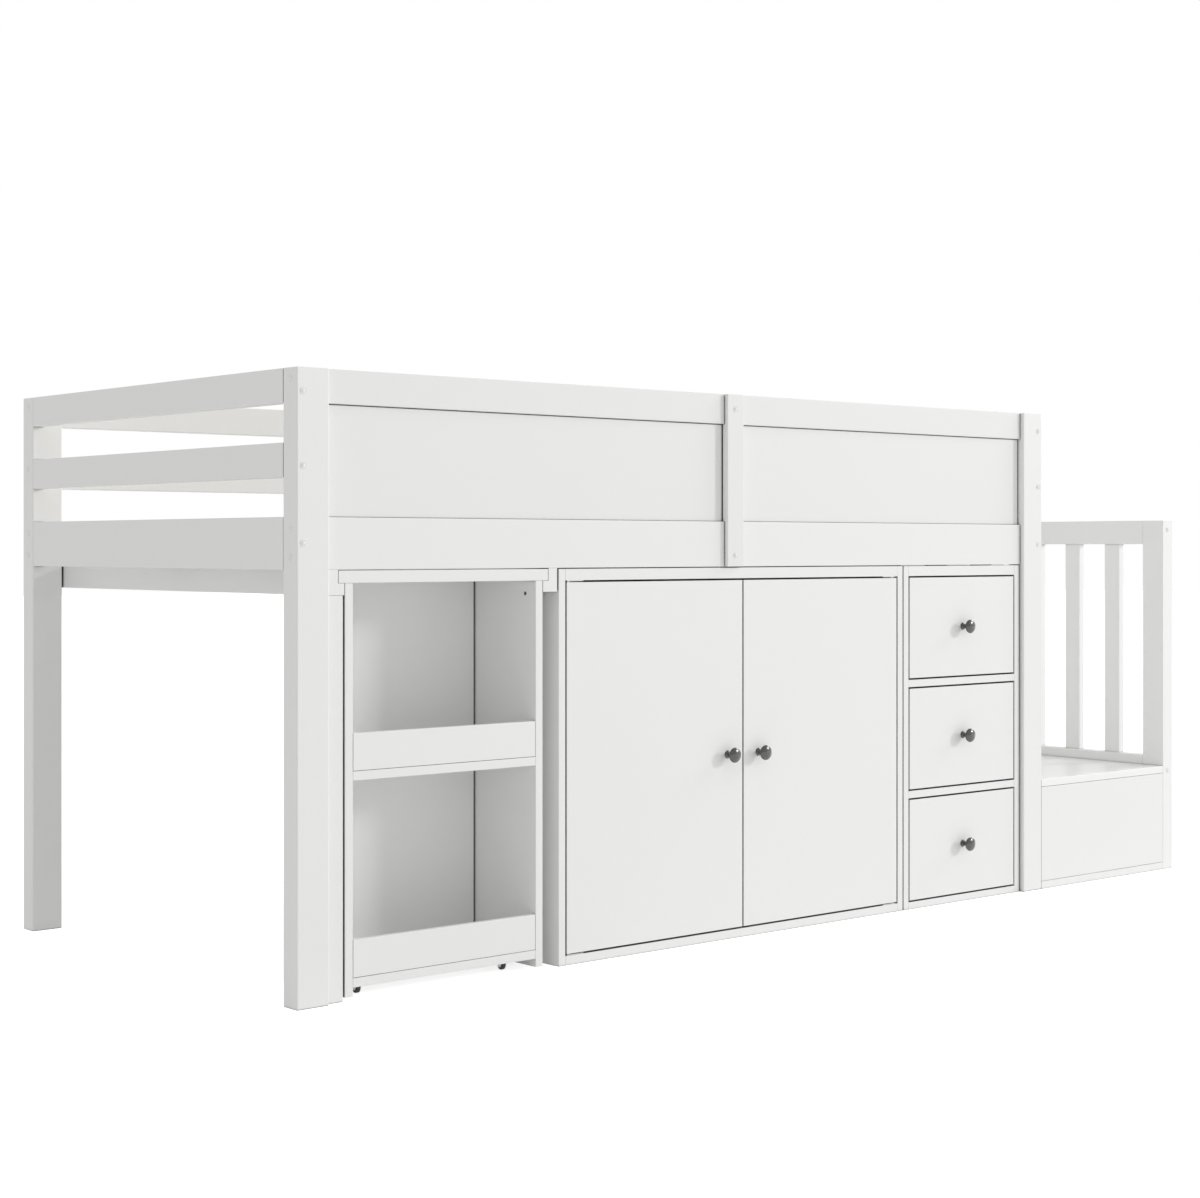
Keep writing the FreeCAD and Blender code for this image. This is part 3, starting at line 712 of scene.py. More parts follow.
def carried(corners: np.ndarray, radii: np.ndarray, ends: tuple[float, float], axis: Axis, ease: float,
            steps: int = 4) -> Surface:
    """An outline carried along an axis, its edges rounded and both its ends eased.

    At angle t of an end's easing e the outline is drawn in by e (1 - sin t) and stands e (1 - cos t)
    short of the end face.

    Args:
        corners: The outline's corners on the two axes that follow the given one.
        radii: The radius of the long edge at each corner.
        ends: Where the board starts and stops.
        axis: The axis.
        ease: The radius at the ends.
        steps: The number of parts of each rounding.

    Returns:
        The board.
    """
    angle = np.linspace(0.0, math.pi / 2, steps + 1)
    inset = ease * (1 - np.sin(angle))
    short = ease * (1 - np.cos(angle))
    station = np.concatenate([ends[0] + short, ends[1] - short[::-1]])
    outline = rounded_outline(corners, radii, np.concatenate([inset, inset[::-1]]), steps)
    rings = np.empty((*outline.shape[:2], 3))
    rings[..., axis.value] = station[:, None]
    rings[..., (axis.value + 1) % 3] = outline[..., 0]
    rings[..., (axis.value + 2) % 3] = outline[..., 1]
    return closed_tube(rings, station)


def board(solid: Solid, axis: Axis, edge: float, ease: float, steps: int = 4) -> Surface:
    """A plain board in a solid's box.

    Args:
        solid: The solid.
        axis: The direction of its length.
        edge: The radius of its four long edges.
        ease: The radius at its ends.
        steps: The number of parts of each rounding.

    Returns:
        The board.
    """
    u, v = (axis.value + 1) % 3, (axis.value + 2) % 3
    low, high = solid.low, solid.high
    corners = np.array([(low[u], low[v]), (high[u], low[v]), (high[u], high[v]), (low[u], high[v])])
    ends = (low[axis.value], high[axis.value])
    return carried(corners, np.full(4, edge), ends, axis, min(ease, edge), steps)


def faired(points: Sequence[tuple[float, float]], steps: int) -> np.ndarray:
    """A smooth line through points.

    Between two points it is the cubic whose slope at each is half the difference of that point's
    neighbours. A point given twice makes a corner.

    Args:
        points: The points (radius, height), in millimetres.
        steps: The number of parts between two points.

    Returns:
        The line's points, in metres.
    """
    given = np.array(points) * TO_METRES
    padded = np.concatenate([[2 * given[0] - given[1]], given, [2 * given[-1] - given[-2]]])
    before, start, stop, after = padded[:-3], padded[1:-2], padded[2:-1], padded[3:]
    t = np.linspace(0.0, 1.0, steps, endpoint=False)[None, :, None]
    before, start, stop, after = (a[:, None] for a in (before, start, stop, after))
    line = 0.5 * (2 * start + (stop - before) * t + (2 * before - 5 * start + 4 * stop - after) * t ** 2
                  + (3 * start - before - 3 * stop + after) * t ** 3)
    line = np.concatenate([line.reshape(-1, 2), given[-1:]])
    kept = np.concatenate([[True], np.linalg.norm(np.diff(line, axis=0), axis=1) > SAME_PLACE])
    return line[kept]


Relief = Callable[[np.ndarray, np.ndarray], np.ndarray]


def turned(profile: np.ndarray, place: np.ndarray, direction: np.ndarray, around: int,
           relief: Relief | None = None) -> Surface:
    """A profile carried round an axis.

    A point is at place + radius (cos u side + sin u up) + height direction, where side, up and the
    direction are at right angles.

    Args:
        profile: The (radius, height) pairs, from the foot up.
        place: The middle of the foot.
        direction: The axis, of length 1.
        around: The number of points in a ring.
        relief: What is added to the height, as a function of the radius and u.

    Returns:
        The turned shape.
    """
    helper = [0.0, 0.0, 1.0] if abs(direction[2]) < UPRIGHT else [1.0, 0.0, 0.0]
    side = np.cross(helper, direction)
    side = side / np.linalg.norm(side)
    up = np.cross(direction, side)
    u = np.linspace(0.0, 2 * math.pi, around, endpoint=False)[None]
    radius, height = profile[:, :1], profile[:, 1:] + 0 * u
    if relief is not None:
        height = height + relief(radius + 0 * u, u + 0 * radius)
    rings = (place + radius[..., None] * (np.cos(u)[..., None] * side + np.sin(u)[..., None] * up)
             + height[..., None] * direction)
    steps = np.linalg.norm(np.diff(profile, axis=0), axis=1)
    return closed_tube(rings, np.concatenate([[0.0], np.cumsum(steps)]))


@dataclass(frozen=True)
class Turning:
    """A turned shape.

    Attributes:
        profile: Its points (radius, height) in millimetres, from the foot up.
        steps: The number of parts between two points.
        around: The number of points in a ring.
    """

    profile: Sequence[tuple[float, float]]
    steps: int
    around: int

    @property
    def reach(self) -> float:
        """Its largest radius."""
        return faired(self.profile, self.steps)[:, 0].max()

    def at(self, place: Sequence[float], direction: Sequence[float]) -> Surface:
        """The shape with its foot at a place, standing in a direction."""
        line = faired(self.profile, self.steps)
        return turned(line, np.array(place, float), np.array(direction, float), self.around)


@dataclass(frozen=True)
class CrossHead:
    """The head of a small cross-slotted screw, whose outline is given as shares of its radius and height."""

    radius: float = 0.0038
    height: float = 0.0008
    depth: float = 0.0007
    slot_width: float = 0.0011
    slot_length: float = 0.0046
    slot_slope: float = 0.0004
    radii: tuple = (1.0, 1.0, 0.93, 0.8, 0.6, 0.4, 0.2, 0.04)
    heights: tuple = (0.0, 0.35, 0.62, 0.82, 0.95, 1.0, 1.0, 1.0)
    around: int = 24

    def slot(self, radius: np.ndarray, angle: np.ndarray) -> np.ndarray:
        """The cross slot: the deeper of two crossed bars with sloping walls.

        Args:
            radius: How far points stand from the axis.
            angle: Where they stand round it.

        Returns:
            What is added to their height.
        """
        x, y = np.abs(radius * np.cos(angle)), np.abs(radius * np.sin(angle))
        slope = self.slot_slope
        across = [np.clip((self.slot_width / 2 + slope - a) / slope, 0, 1) for a in (x, y)]
        along = [np.clip((self.slot_length / 2 + slope - a) / slope, 0, 1) for a in (y, x)]
        return -self.depth * np.maximum(across[0] * along[0], across[1] * along[1])

    def at(self, place: Sequence[float], direction: Sequence[float]) -> Surface:
        """A head seated at a place, facing a direction."""
        profile = np.stack([np.array(self.radii) * self.radius, np.array(self.heights) * self.height], axis=1)
        return turned(profile, np.array(place, float), np.array(direction, float), self.around, self.slot)


@dataclass(frozen=True)
class Nails:
    """Flat nail heads round the edge of a back board.

    Attributes:
        spacing: The step between two heads, about.
        inset: How far they stand from the upright edges. They stand twice as far from the level ones.
        head: A head.
    """

    spacing: float = 0.11
    inset: float = 0.004
    head: Turning = Turning(
        ((2.1, 0.0), (2.1, 0.0), (2.1, 0.25), (1.7, 0.45), (0.9, 0.5), (0.2, 0.5)), steps=1, around=12)

    def over(self, node: str) -> list[Surface]:
        """Heads on a board's back face.

        They stand at even steps along each edge, half a step from its ends.

        Args:
            node: The CAD board.

        Returns:
            The heads.
        """
        low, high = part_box(node)
        spans = ((low.z, high.z), (low.x, high.x))
        lines = ((low.x + self.inset, high.x - self.inset), (high.z - 2 * self.inset, low.z + 2 * self.inset))
        places = []
        for upright, (start, stop), fixed in zip((True, False), spans, lines):
            count = round((stop - start) / self.spacing)
            run = start + (np.arange(count) + 0.5) * (stop - start) / count
            places += [(line, along) if upright else (along, line) for line in fixed for along in run]
        return [self.head.at((x, high.y, z), (0, 1, 0)) for x, z in places]


def make_piece(name: str, surfaces: Sequence[Surface], finish: Finish) -> bpy.types.Object:
    """One object from several surfaces.

    Args:
        name: The object's name.
        surfaces: The surfaces, each numbered as a board of its own.
        finish: The finish.

    Returns:
        The object, with normals that keep its flats flat.
    """
    first = np.cumsum([0] + [len(surface.points) for surface in surfaces])
    faces = [[k + start for k in face] for surface, start in zip(surfaces, first) for face in surface.faces]
    mesh = bpy.data.meshes.new(name)
    mesh.from_pydata(np.concatenate([s.points for s in surfaces]).tolist(), [], faces)
    mesh.polygons.foreach_set("use_smooth", np.ones(len(faces), dtype=bool))
    turning = np.concatenate([s.turning for s in surfaces])
    mesh.uv_layers.new(name="turning").data.foreach_set("uv", turning.astype(np.float32).reshape(-1))
    numbers = np.arange(len(surfaces)) * BOARD_STEP + len(name) * LETTER_STEP
    own = np.repeat(numbers, [len(s.points) for s in surfaces])
    mesh.attributes.new("board", "FLOAT", "POINT").data.foreach_set("value", own.astype(np.float32))
    mesh.materials.append(finish.material())
    piece = bpy.data.objects.new(name, mesh)
    bpy.context.scene.collection.objects.link(piece)
    piece.modifiers.new("flat_faces", "WEIGHTED_NORMAL").weight = FLAT_WEIGHT
    return piece


@dataclass(frozen=True)
class Rounded:
    """Plain boards with rounded edges, one in the place of each solid of a CAD node.

    Attributes:
        node: The node.
        axis: The direction of the boards' length.
        finish: Their finish.
        edge: The radius of their long edges.
        ease: The radius at their ends, where it isn't the same.
        trim: How far each board stays inside its solid at its lowest and highest corners, which
            leaves a joint open.
    """

    node: str
    axis: Axis
    finish: Finish
    edge: float
    ease: float | None = None
    trim: tuple = ((0, 0, 0), (0, 0, 0))


@dataclass(frozen=True)
class Kept:
    """A CAD node that stays, with a finish and softened edges of a given width."""

    node: str
    finish: Finish
    edge: float = 0.0004


@dataclass
class SubAssembly:
    """Pieces that belong together.

    Attributes:
        body: The CAD body that they ride on.
        rounded: The nodes that rounded boards replace.
        kept: The nodes that stay.
        pieces: The objects, as they are made or dressed.
    """

    body: str = "bed"
    rounded: tuple[Rounded, ...] = ()
    kept: tuple[Kept, ...] = ()
    pieces: list[bpy.types.Object] = field(default_factory=list, init=False)

    def build(self) -> None:
        """Makes the rounded boards."""
        for row in self.rounded:
            low, high = np.array(row.trim)
            solids = [Solid(solid.low + low, solid.high - high, solid.mean) for solid in solids_of(row.node)]
            ease = row.edge if row.ease is None else row.ease
            surfaces = [board(solid, row.axis, row.edge, ease) for solid in solids]
            self.add("rounded_" + row.node, surfaces, row.finish, replaced=[row.node])

    def dress(self) -> None:
        """Joins the triangles of the nodes that stay, softens and parts their edges and finishes them."""
        for row in self.kept:
            piece = frame["nodes"][row.node]
            piece.modifiers.new("joined", "WELD").merge_threshold = JOINED_WITHIN
            soft = piece.modifiers.new("softened", "BEVEL")
            soft.width = row.edge
            soft.segments = 2
            soft.limit_method = "ANGLE"
            soft.angle_limit = SOFTENED_PAST
            piece.modifiers.new("parted", "EDGE_SPLIT").split_angle = PARTED_PAST
            piece.modifiers.new("flat_faces", "WEIGHTED_NORMAL").weight = FLAT_WEIGHT
            piece.data.materials.clear()
            piece.data.materials.append(row.finish.material())
            self.pieces.append(piece)

    def add(self, name: str, surfaces: Sequence[Surface], finish: Finish, body: str = "",
            replaced: Sequence[str] = ()) -> None:
        """Makes a piece and lets it ride.

        Args:
            name: Its name.
            surfaces: Its surfaces.
            finish: Its finish.
            body: The body that it rides on, where it isn't the sub-assembly's own.
            replaced: The CAD nodes that it stands for.
        """
        piece = make_piece(name, surfaces, finish)
        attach(piece, body or self.body)
        if replaced:
            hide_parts(*replaced)
        self.pieces.append(piece)


@dataclass
class CornerPosts(SubAssembly):
    """Four posts with well rounded long edges."""

    rounded: tuple[Rounded, ...] = tuple(
        Rounded("post_" + corner, Axis.Z, PAINT[Axis.Z], edge=0.0025, ease=0.0018)
        for corner in ("front_left", "front_right", "back_left", "back_right"))


@dataclass
class PanelledGuard(SubAssembly):
    """The front: two grooved rails, a stile lapped over them, and two panels with shadow gaps.

    Attributes:
        edge: The radius of the rails' long edges.
        lower_edge: The radius of the side rail's lower edges, over the cases.
        mouth: The radius at the grooves and the rails' ends.
        shoulder: The gap between a rail's right end and the post, which its tenon crosses.
        groove_clearance: The play of the panels in the grooves.
        groove_depth: The depth of the grooves.
        tenon_side: How much narrower a tenon is than its rail, on either side.
        tenon_below: How much lower it is, above and below.
        tenon_length: Its length.
        stile_edge: The radius of the stile's edges, in front and behind.
        stile_gap: How far the stile's back stays off the rails and panels.
        spacer_inset: How far what holds the stile off them stands back from its sides.
        panel_edge: The radius of the panels' edges.
        field: How far the raised front of a panel stands out of the board in the grooves.
        field_gaps: The gaps round a field: below, above, beside the left post, at both sides of the
            stile, and beside the right post.
    """

    edge: float = 0.0018
    lower_edge: float = 0.0005
    mouth: float = 0.0003
    shoulder: float = 0.0014
    groove_clearance: float = 0.0003
    groove_depth: float = 0.0073
    tenon_side: float = 0.005
    tenon_below: float = 0.012
    tenon_length: float = 0.03
    stile_edge: float = 0.0014
    stile_gap: float = 0.0013
    spacer_inset: float = 0.003
    panel_edge: float = 0.0006
    field: float = 0.0045
    field_gaps: tuple = (0.0004, 0.0015, 0.0004, 0.0014, 0.0005, 0.0026)

    def grooved_rail(self, node: str, above: bool) -> Surface:
        """A rail with a groove for the panels.

        Args:
            node: The CAD rail.
            above: Whether the groove is in its top.

        Returns:
            The rail.
        """
        rail, panel = box_of(node), box_of("front_guard_panels")
        low, high = rail.low, rail.high
        near, far = panel.low[1] - self.groove_clearance, panel.high[1] + self.groove_clearance
        brim = high[2] if above else low[2]
        bed = brim - self.groove_depth if above else brim + self.groove_depth
        groove = [(far, brim), (far, bed), (near, bed), (near, brim)]
        outline = [(low[1], low[2]), (high[1], low[2]), (high[1], high[2]), (low[1], high[2])]
        foot = self.lower_edge if above else self.edge
        radii = [foot, foot, self.edge, self.edge]
        where = 3 if above else 1
        outline[where:where] = groove if above else groove[::-1]
        radii[where:where] = [self.mouth] * 4
        ends = (low[0], high[0] - self.shoulder)
        return carried(np.array(outline), np.array(radii), ends, Axis.X, self.mouth)

    def tenon(self, node: str) -> Surface:
        """The tenon at a rail's right end, as far as the post.

        Args:
            node: The CAD rail.

        Returns:
            The tenon.
        """
        low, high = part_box(node)
        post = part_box("post_front_right")[0].x
        across = (low.y + self.tenon_side, high.y - self.tenon_side)
        up = (low.z + self.tenon_below, high.z - self.tenon_below)
        block = Solid.block((post - self.tenon_length, post), across, up)
        return board(block, Axis.X, self.mouth, self.mouth)

    def stile(self) -> list[Surface]:
        """The stile: a stepped board in front, what holds it off the rails and panels, and its back.

        The front board's outline, seen from the side, is thin over the rails and thick between them.

        Returns:
            The four parts.
        """
        low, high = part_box("front_stile")
        rail_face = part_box("front_side_rail")[0].y
        panel_face, panel_back = (corner.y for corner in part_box("front_guard_panels"))
        below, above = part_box("front_side_rail")[1].z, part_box("front_top_rail")[0].z
        thin, thick = rail_face - self.stile_gap, panel_face - self.stile_gap
        outline = [(low.y, low.z), (thin, low.z), (thin, below), (thick, below), (thick, above),
                   (thin, above), (thin, high.z), (low.y, high.z)]
        radii = np.full(len(outline), self.stile_edge)
        front = carried(np.array(outline), radii, (low.x, high.x), Axis.X, self.stile_edge)
        held = (low.x + self.spacer_inset, high.x - self.spacer_inset)
        spine = (low.x + self.groove_depth, high.x - self.groove_depth)
        ends = (low.z + self.spacer_inset, high.z - self.spacer_inset)
        spacer = Solid.block(held, (thin - self.stile_edge, rail_face), ends)
        middle = Solid.block(spine, (thick - self.stile_edge, high.y - self.stile_edge), (below, above))
        back = Solid.block((low.x, high.x), (panel_back + self.mouth, high.y), (below, above))
        parts = ((spacer, self.mouth), (middle, self.mouth), (back, self.stile_edge))
        return [front] + [board(part, Axis.Z, edge, self.mouth) for part, edge in parts]

    def panels(self) -> list[Surface]:
        """Each panel: a board in the grooves with a raised field on its front.

        Returns:
            The boards and fields.
        """
        under, over, left, before_stile, after_stile, right = self.field_gaps
        stile_low, stile_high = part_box("front_stile")
        spans = ((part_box("post_front_left")[1].x + left, stile_low.x - before_stile),
                 (stile_high.x + after_stile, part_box("post_front_right")[0].x - right))
        z = (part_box("front_side_rail")[1].z + under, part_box("front_top_rail")[0].z - over)
        made = []
        for solid, span in zip(solids_of("front_guard_panels"), spans):
            face = solid.low[1]
            core = Solid.block((solid.low[0], solid.high[0]), (face + self.field, solid.high[1]),
                               (solid.low[2], solid.high[2]))
            field = Solid.block(span, (face, face + self.field + self.panel_edge), z)
            made += [board(part, Axis.X, self.panel_edge, self.panel_edge) for part in (core, field)]
        return made

    def build(self) -> None:
        """Makes the rails, the panels and the stile."""
        for node, above, finish in (("front_side_rail", True, PAINT[Axis.X]),
                                    ("front_top_rail", False, GUARD_PAINTED_SHADE[Axis.X])):
            surfaces = [self.grooved_rail(node, above), self.tenon(node)]
            self.add("grooved_" + node, surfaces, finish, replaced=[node])
        self.add("raised_front_guard_panels", self.panels(), PANEL_PAINTED_SHADE, replaced=["front_guard_panels"])
        self.add("lapped_front_stile", self.stile(), GUARD_PAINTED_SHADE[Axis.Z], replaced=["front_stile"])


@dataclass
class OpenGuards(SubAssembly):
    """Side rails and open guard rails along the back and across both ends, with the entry post."""

    rounded: tuple[Rounded, ...] = tuple(
        Rounded(node, axis, PAINT[axis], edge=0.0020, ease=0.0006)
        for node, axis in (("back_side_rail", Axis.X), ("back_guard_rails", Axis.X),
                           ("left_end_guard_rails", Axis.Y), ("right_end_guard_rails", Axis.Y)))
    kept: tuple[Kept, ...] = (
        Kept("left_end_side_rail", PAINT[Axis.Y]),
        Kept("right_end_side_rail", PAINT[Axis.Y]),
        Kept("entry_post", PAINT[Axis.Z]),
    )


@dataclass
class BoltCovers(SubAssembly):
    """Covers over the frame bolts: a low rim, a groove and a dome."""

    cover: Turning = Turning((
        (6.2, 0.0), (6.2, 0.0), (6.2, 0.5), (6.0, 0.85), (5.6, 0.95), (5.2, 0.8), (4.9, 0.3), (4.5, 0.15),
        (4.1, 0.35), (3.6, 1.1), (2.8, 1.85), (1.5, 2.15), (0.25, 2.2)), steps=3, around=32)

    def build(self) -> None:
        """Makes a cover in the place of each one of the CAD node, facing the same way."""
        covers = []
        for solid in solids_of("bolt_caps"):
            axis = int(np.argmin(solid.high - solid.low))
            direction = np.zeros(3)
            direction[axis] = 1.0 if solid.mean[axis] < solid.middle[axis] else -1.0
            foot = solid.middle - direction * (solid.high - solid.low)[axis] / 2
            covers.append(self.cover.at(foot, direction))
        self.add("domed_bolt_covers", covers, CAP, replaced=["bolt_caps"])


@dataclass
class MattressBase(SubAssembly):
    """Slats screwed to two cleats and a beam.

    Attributes:
        screw_inset: How far a screw stands from its slat's end.
        screw_sink: How deep its head is sunk.
    """

    rounded: tuple[Rounded, ...] = (Rounded("mattress_slats", Axis.Y, PINE_Y, edge=0.0025, ease=0.0008),)
    kept: tuple[Kept, ...] = (Kept("slat_supports", PINE_X),)
    screw_inset: float = 0.0125
    screw_sink: float = 0.0004

    def build(self) -> None:
        """Makes the slats and their screws."""
        super().build()
        slats = solids_of("mattress_slats")
        middle = sum(s.middle[1] for s in slats) / len(slats)
        screws = []
        for slat in slats:
            x, top = slat.middle[0], slat.high[2] - self.screw_sink
            for y in (slat.low[1] + self.screw_inset, middle, slat.high[1] - self.screw_inset):
                screws.append(CrossHead().at((x, y, top), (0, 0, 1)))
        self.add("slat_screws", screws, ZINC)


@dataclass
class Steps(SubAssembly):
    """Two steps on a stepped carcase."""

    rounded: tuple[Rounded, ...] = (
        Rounded("step_treads", Axis.X, TREAD_PAINTED_LIGHT, edge=0.0012),
        Rounded("step_risers", Axis.X, BOARD, edge=0.0012),
    )
    kept: tuple[Kept, ...] = (Kept("step_carcase", BOARD),)


@dataclass
class Railing(SubAssembly):
    """The slatted railing beside the steps, whose posts stay sharp where its mortised rails meet them."""

    rounded: tuple[Rounded, ...] = (
        Rounded("railing_posts", Axis.Z, RAILING_PAINTED_LIGHT[Axis.Z], edge=0.0005),
        Rounded("railing_balusters", Axis.Z, RAILING_PAINTED_LIGHT[Axis.Z], edge=0.0022, ease=0.0018),
    )
    kept: tuple[Kept, ...] = (Kept("railing_rails", RAILING_PAINTED_LIGHT[Axis.Y], edge=0.0002),)


@dataclass
class DeskRails(SubAssembly):
    """The rebated rails that carry the desktop and the leg under the left one."""

    rounded: tuple[Rounded, ...] = (Rounded("desk_rail_leg", Axis.Z, PAINT[Axis.Z], edge=0.0015),)
    kept: tuple[Kept, ...] = (Kept("desk_rails", PAINT[Axis.Y], edge=0.0008),)


@dataclass
class WithKnobs(SubAssembly):
    """A sub-assembly with turned knobs: a small foot, a waist and a wide low-domed head."""

    knob: Turning = Turning((
        (8.0, 0.0), (8.0, 0.0), (8.0, 1.3), (7.6, 2.0), (6.8, 2.5), (5.9, 3.5), (5.3, 5.4), (5.1, 8.0),
        (5.4, 11.0), (7.2, 13.8), (10.7, 16.4), (13.8, 18.8), (15.2, 20.9), (15.3, 22.6), (14.2, 24.4),
        (11.9, 25.9), (8.8, 27.0), (5.0, 27.75), (2.0, 27.97), (0.3, 28.0)), steps=4, around=56)

    def add_knob(self, body: str) -> None:
        """Makes a knob in its CAD knob's place, its foot on the face behind it.

        Args:
            body: The door or drawer that it belongs to.
        """
        node = body + "_knob"
        solid = box_of(node)
        foot = (solid.middle[0], solid.high[1], solid.middle[2])
        self.add("turned_" + node, [self.knob.at(foot, (0, -1, 0))], GUNMETAL, body, [node])


@dataclass
class Doors(WithKnobs):
    """Two plain doors, each with its knob."""

    kept: tuple[Kept, ...] = (Kept("left_door", BOARD, edge=0.0006), Kept("right_door", BOARD, edge=0.0006))

    def build(self) -> None:
        """Makes the knobs and the screws that hold them from behind."""
        for side in ("left", "right"):
            door = side + "_door"
            self.add_knob(door)
            middle = box_of(door + "_knob").middle
            place = (middle[0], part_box(door)[1].y, middle[2])
            self.add(side + "_knob_screw", [CrossHead().at(place, (0, 1, 0))], ZINC, door)


@dataclass
class Cabinet(SubAssembly):
    """The case behind the doors, with its shelf on pins and its back nailed in.

    Attributes:
        pin: A pin.
        pin_inset: How far a pin stands from the shelf's front or back edge.
        painted_shade_strip_setback: How far the dark strip of painted shade over the case stays behind the
            rail's face.
        painted_shade_strip_depth: Its depth, which leaves it in front of the packing strips.
        painted_shade_strip_end: How far it stops short of the case's sides.
        painted_shade_strip_edge: The radius of its edges.
    """

    rounded: tuple[Rounded, ...] = tuple(
        Rounded("cabinet_" + part, Axis.X, BOARD, edge=0.0008) for part in ("top", "bottom", "shelf"))
    kept: tuple[Kept, ...] = (
        Kept("cabinet_sides", BOARD),
        Kept("cabinet_back", BOARD, edge=0.0003),
        Kept("door_pivots", ZINC, edge=0.0003),
    )
    pin: Turning = Turning(
        ((2.4, 0.0), (2.4, 0.0), (2.4, 6.4), (2.1, 6.9), (1.4, 7.1), (0.2, 7.1)), steps=2, around=16)
    pin_inset: float = 0.06
    painted_shade_strip_setback: float = 0.0030
    painted_shade_strip_depth: float = 0.0025
    painted_shade_strip_end: float = 0.0010
    painted_shade_strip_edge: float = 0.0002

    def painted_shade_strip(self) -> Surface:
        """A slim dark strip that closes the line between the case and the side rail, as painted shade.

        Returns:
            The strip.
        """
        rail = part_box("front_side_rail")[0]
        low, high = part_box("cabinet_sides")
        across = (rail.y + self.painted_shade_strip_setback, rail.y + self.painted_shade_strip_setback + self.painted_shade_strip_depth)
        block = Solid.block((low.x + self.painted_shade_strip_end, high.x - self.painted_shade_strip_end), across, (high.z, rail.z))
        return board(block, Axis.X, self.painted_shade_strip_edge, self.painted_shade_strip_edge)

    def build(self) -> None:
        """Makes the level boards, the pins under the shelf, the nails in the back and the dark strip of
        painted shade.
        """
        super().build()
        low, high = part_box("cabinet_shelf")
        pins = [self.pin.at((x, y, low.z - self.pin.reach), (way, 0, 0))
                for x, way in ((low.x, 1), (high.x, -1))
                for y in (low.y + self.pin_inset, high.y - self.pin_inset)]
        self.add("shelf_pins", pins, ZINC)
        self.add("cabinet_back_nails", Nails().over("cabinet_back"), ZINC)
        # A dark strip as painted shade in the line between the case and the side rail.
        self.add("cabinet_seal", [self.painted_shade_strip()], WHEEL)


@dataclass
class DrawerCase(SubAssembly):
    """The case of the drawers with its wooden runners, and the strips that pack both cases."""

    rounded: tuple[Rounded, ...] = (Rounded("drawer_case_boards", Axis.X, BOARD, edge=0.0008),)
    kept: tuple[Kept, ...] = (
        Kept("drawer_case_sides", BOARD),
        Kept("drawer_case_back", BOARD, edge=0.0003),
        Kept("drawer_runners", PINE_Y, edge=0.0006),
        Kept("packing_strips", PAINT[Axis.X], edge=0.0003),
    )

    def build(self) -> None:
        """Makes the level boards and the nails in the back."""
        super().build()
        self.add("drawer_case_back_nails", Nails().over("drawer_case_back"), ZINC)


@dataclass
class Drawer(WithKnobs):
    """A drawer, named by its body: its front, its box and its knob."""

    def __post_init__(self) -> None:
        """Finds the nodes of its front and its box."""
        self.rounded = (Rounded(self.body + "_front", Axis.X, BOARD, edge=0.0008),)
        self.kept = (Kept(self.body + "_box", BOARD),)

    def build(self) -> None:
        """Makes the front and the knob."""
        super().build()
        self.add_knob(self.body)


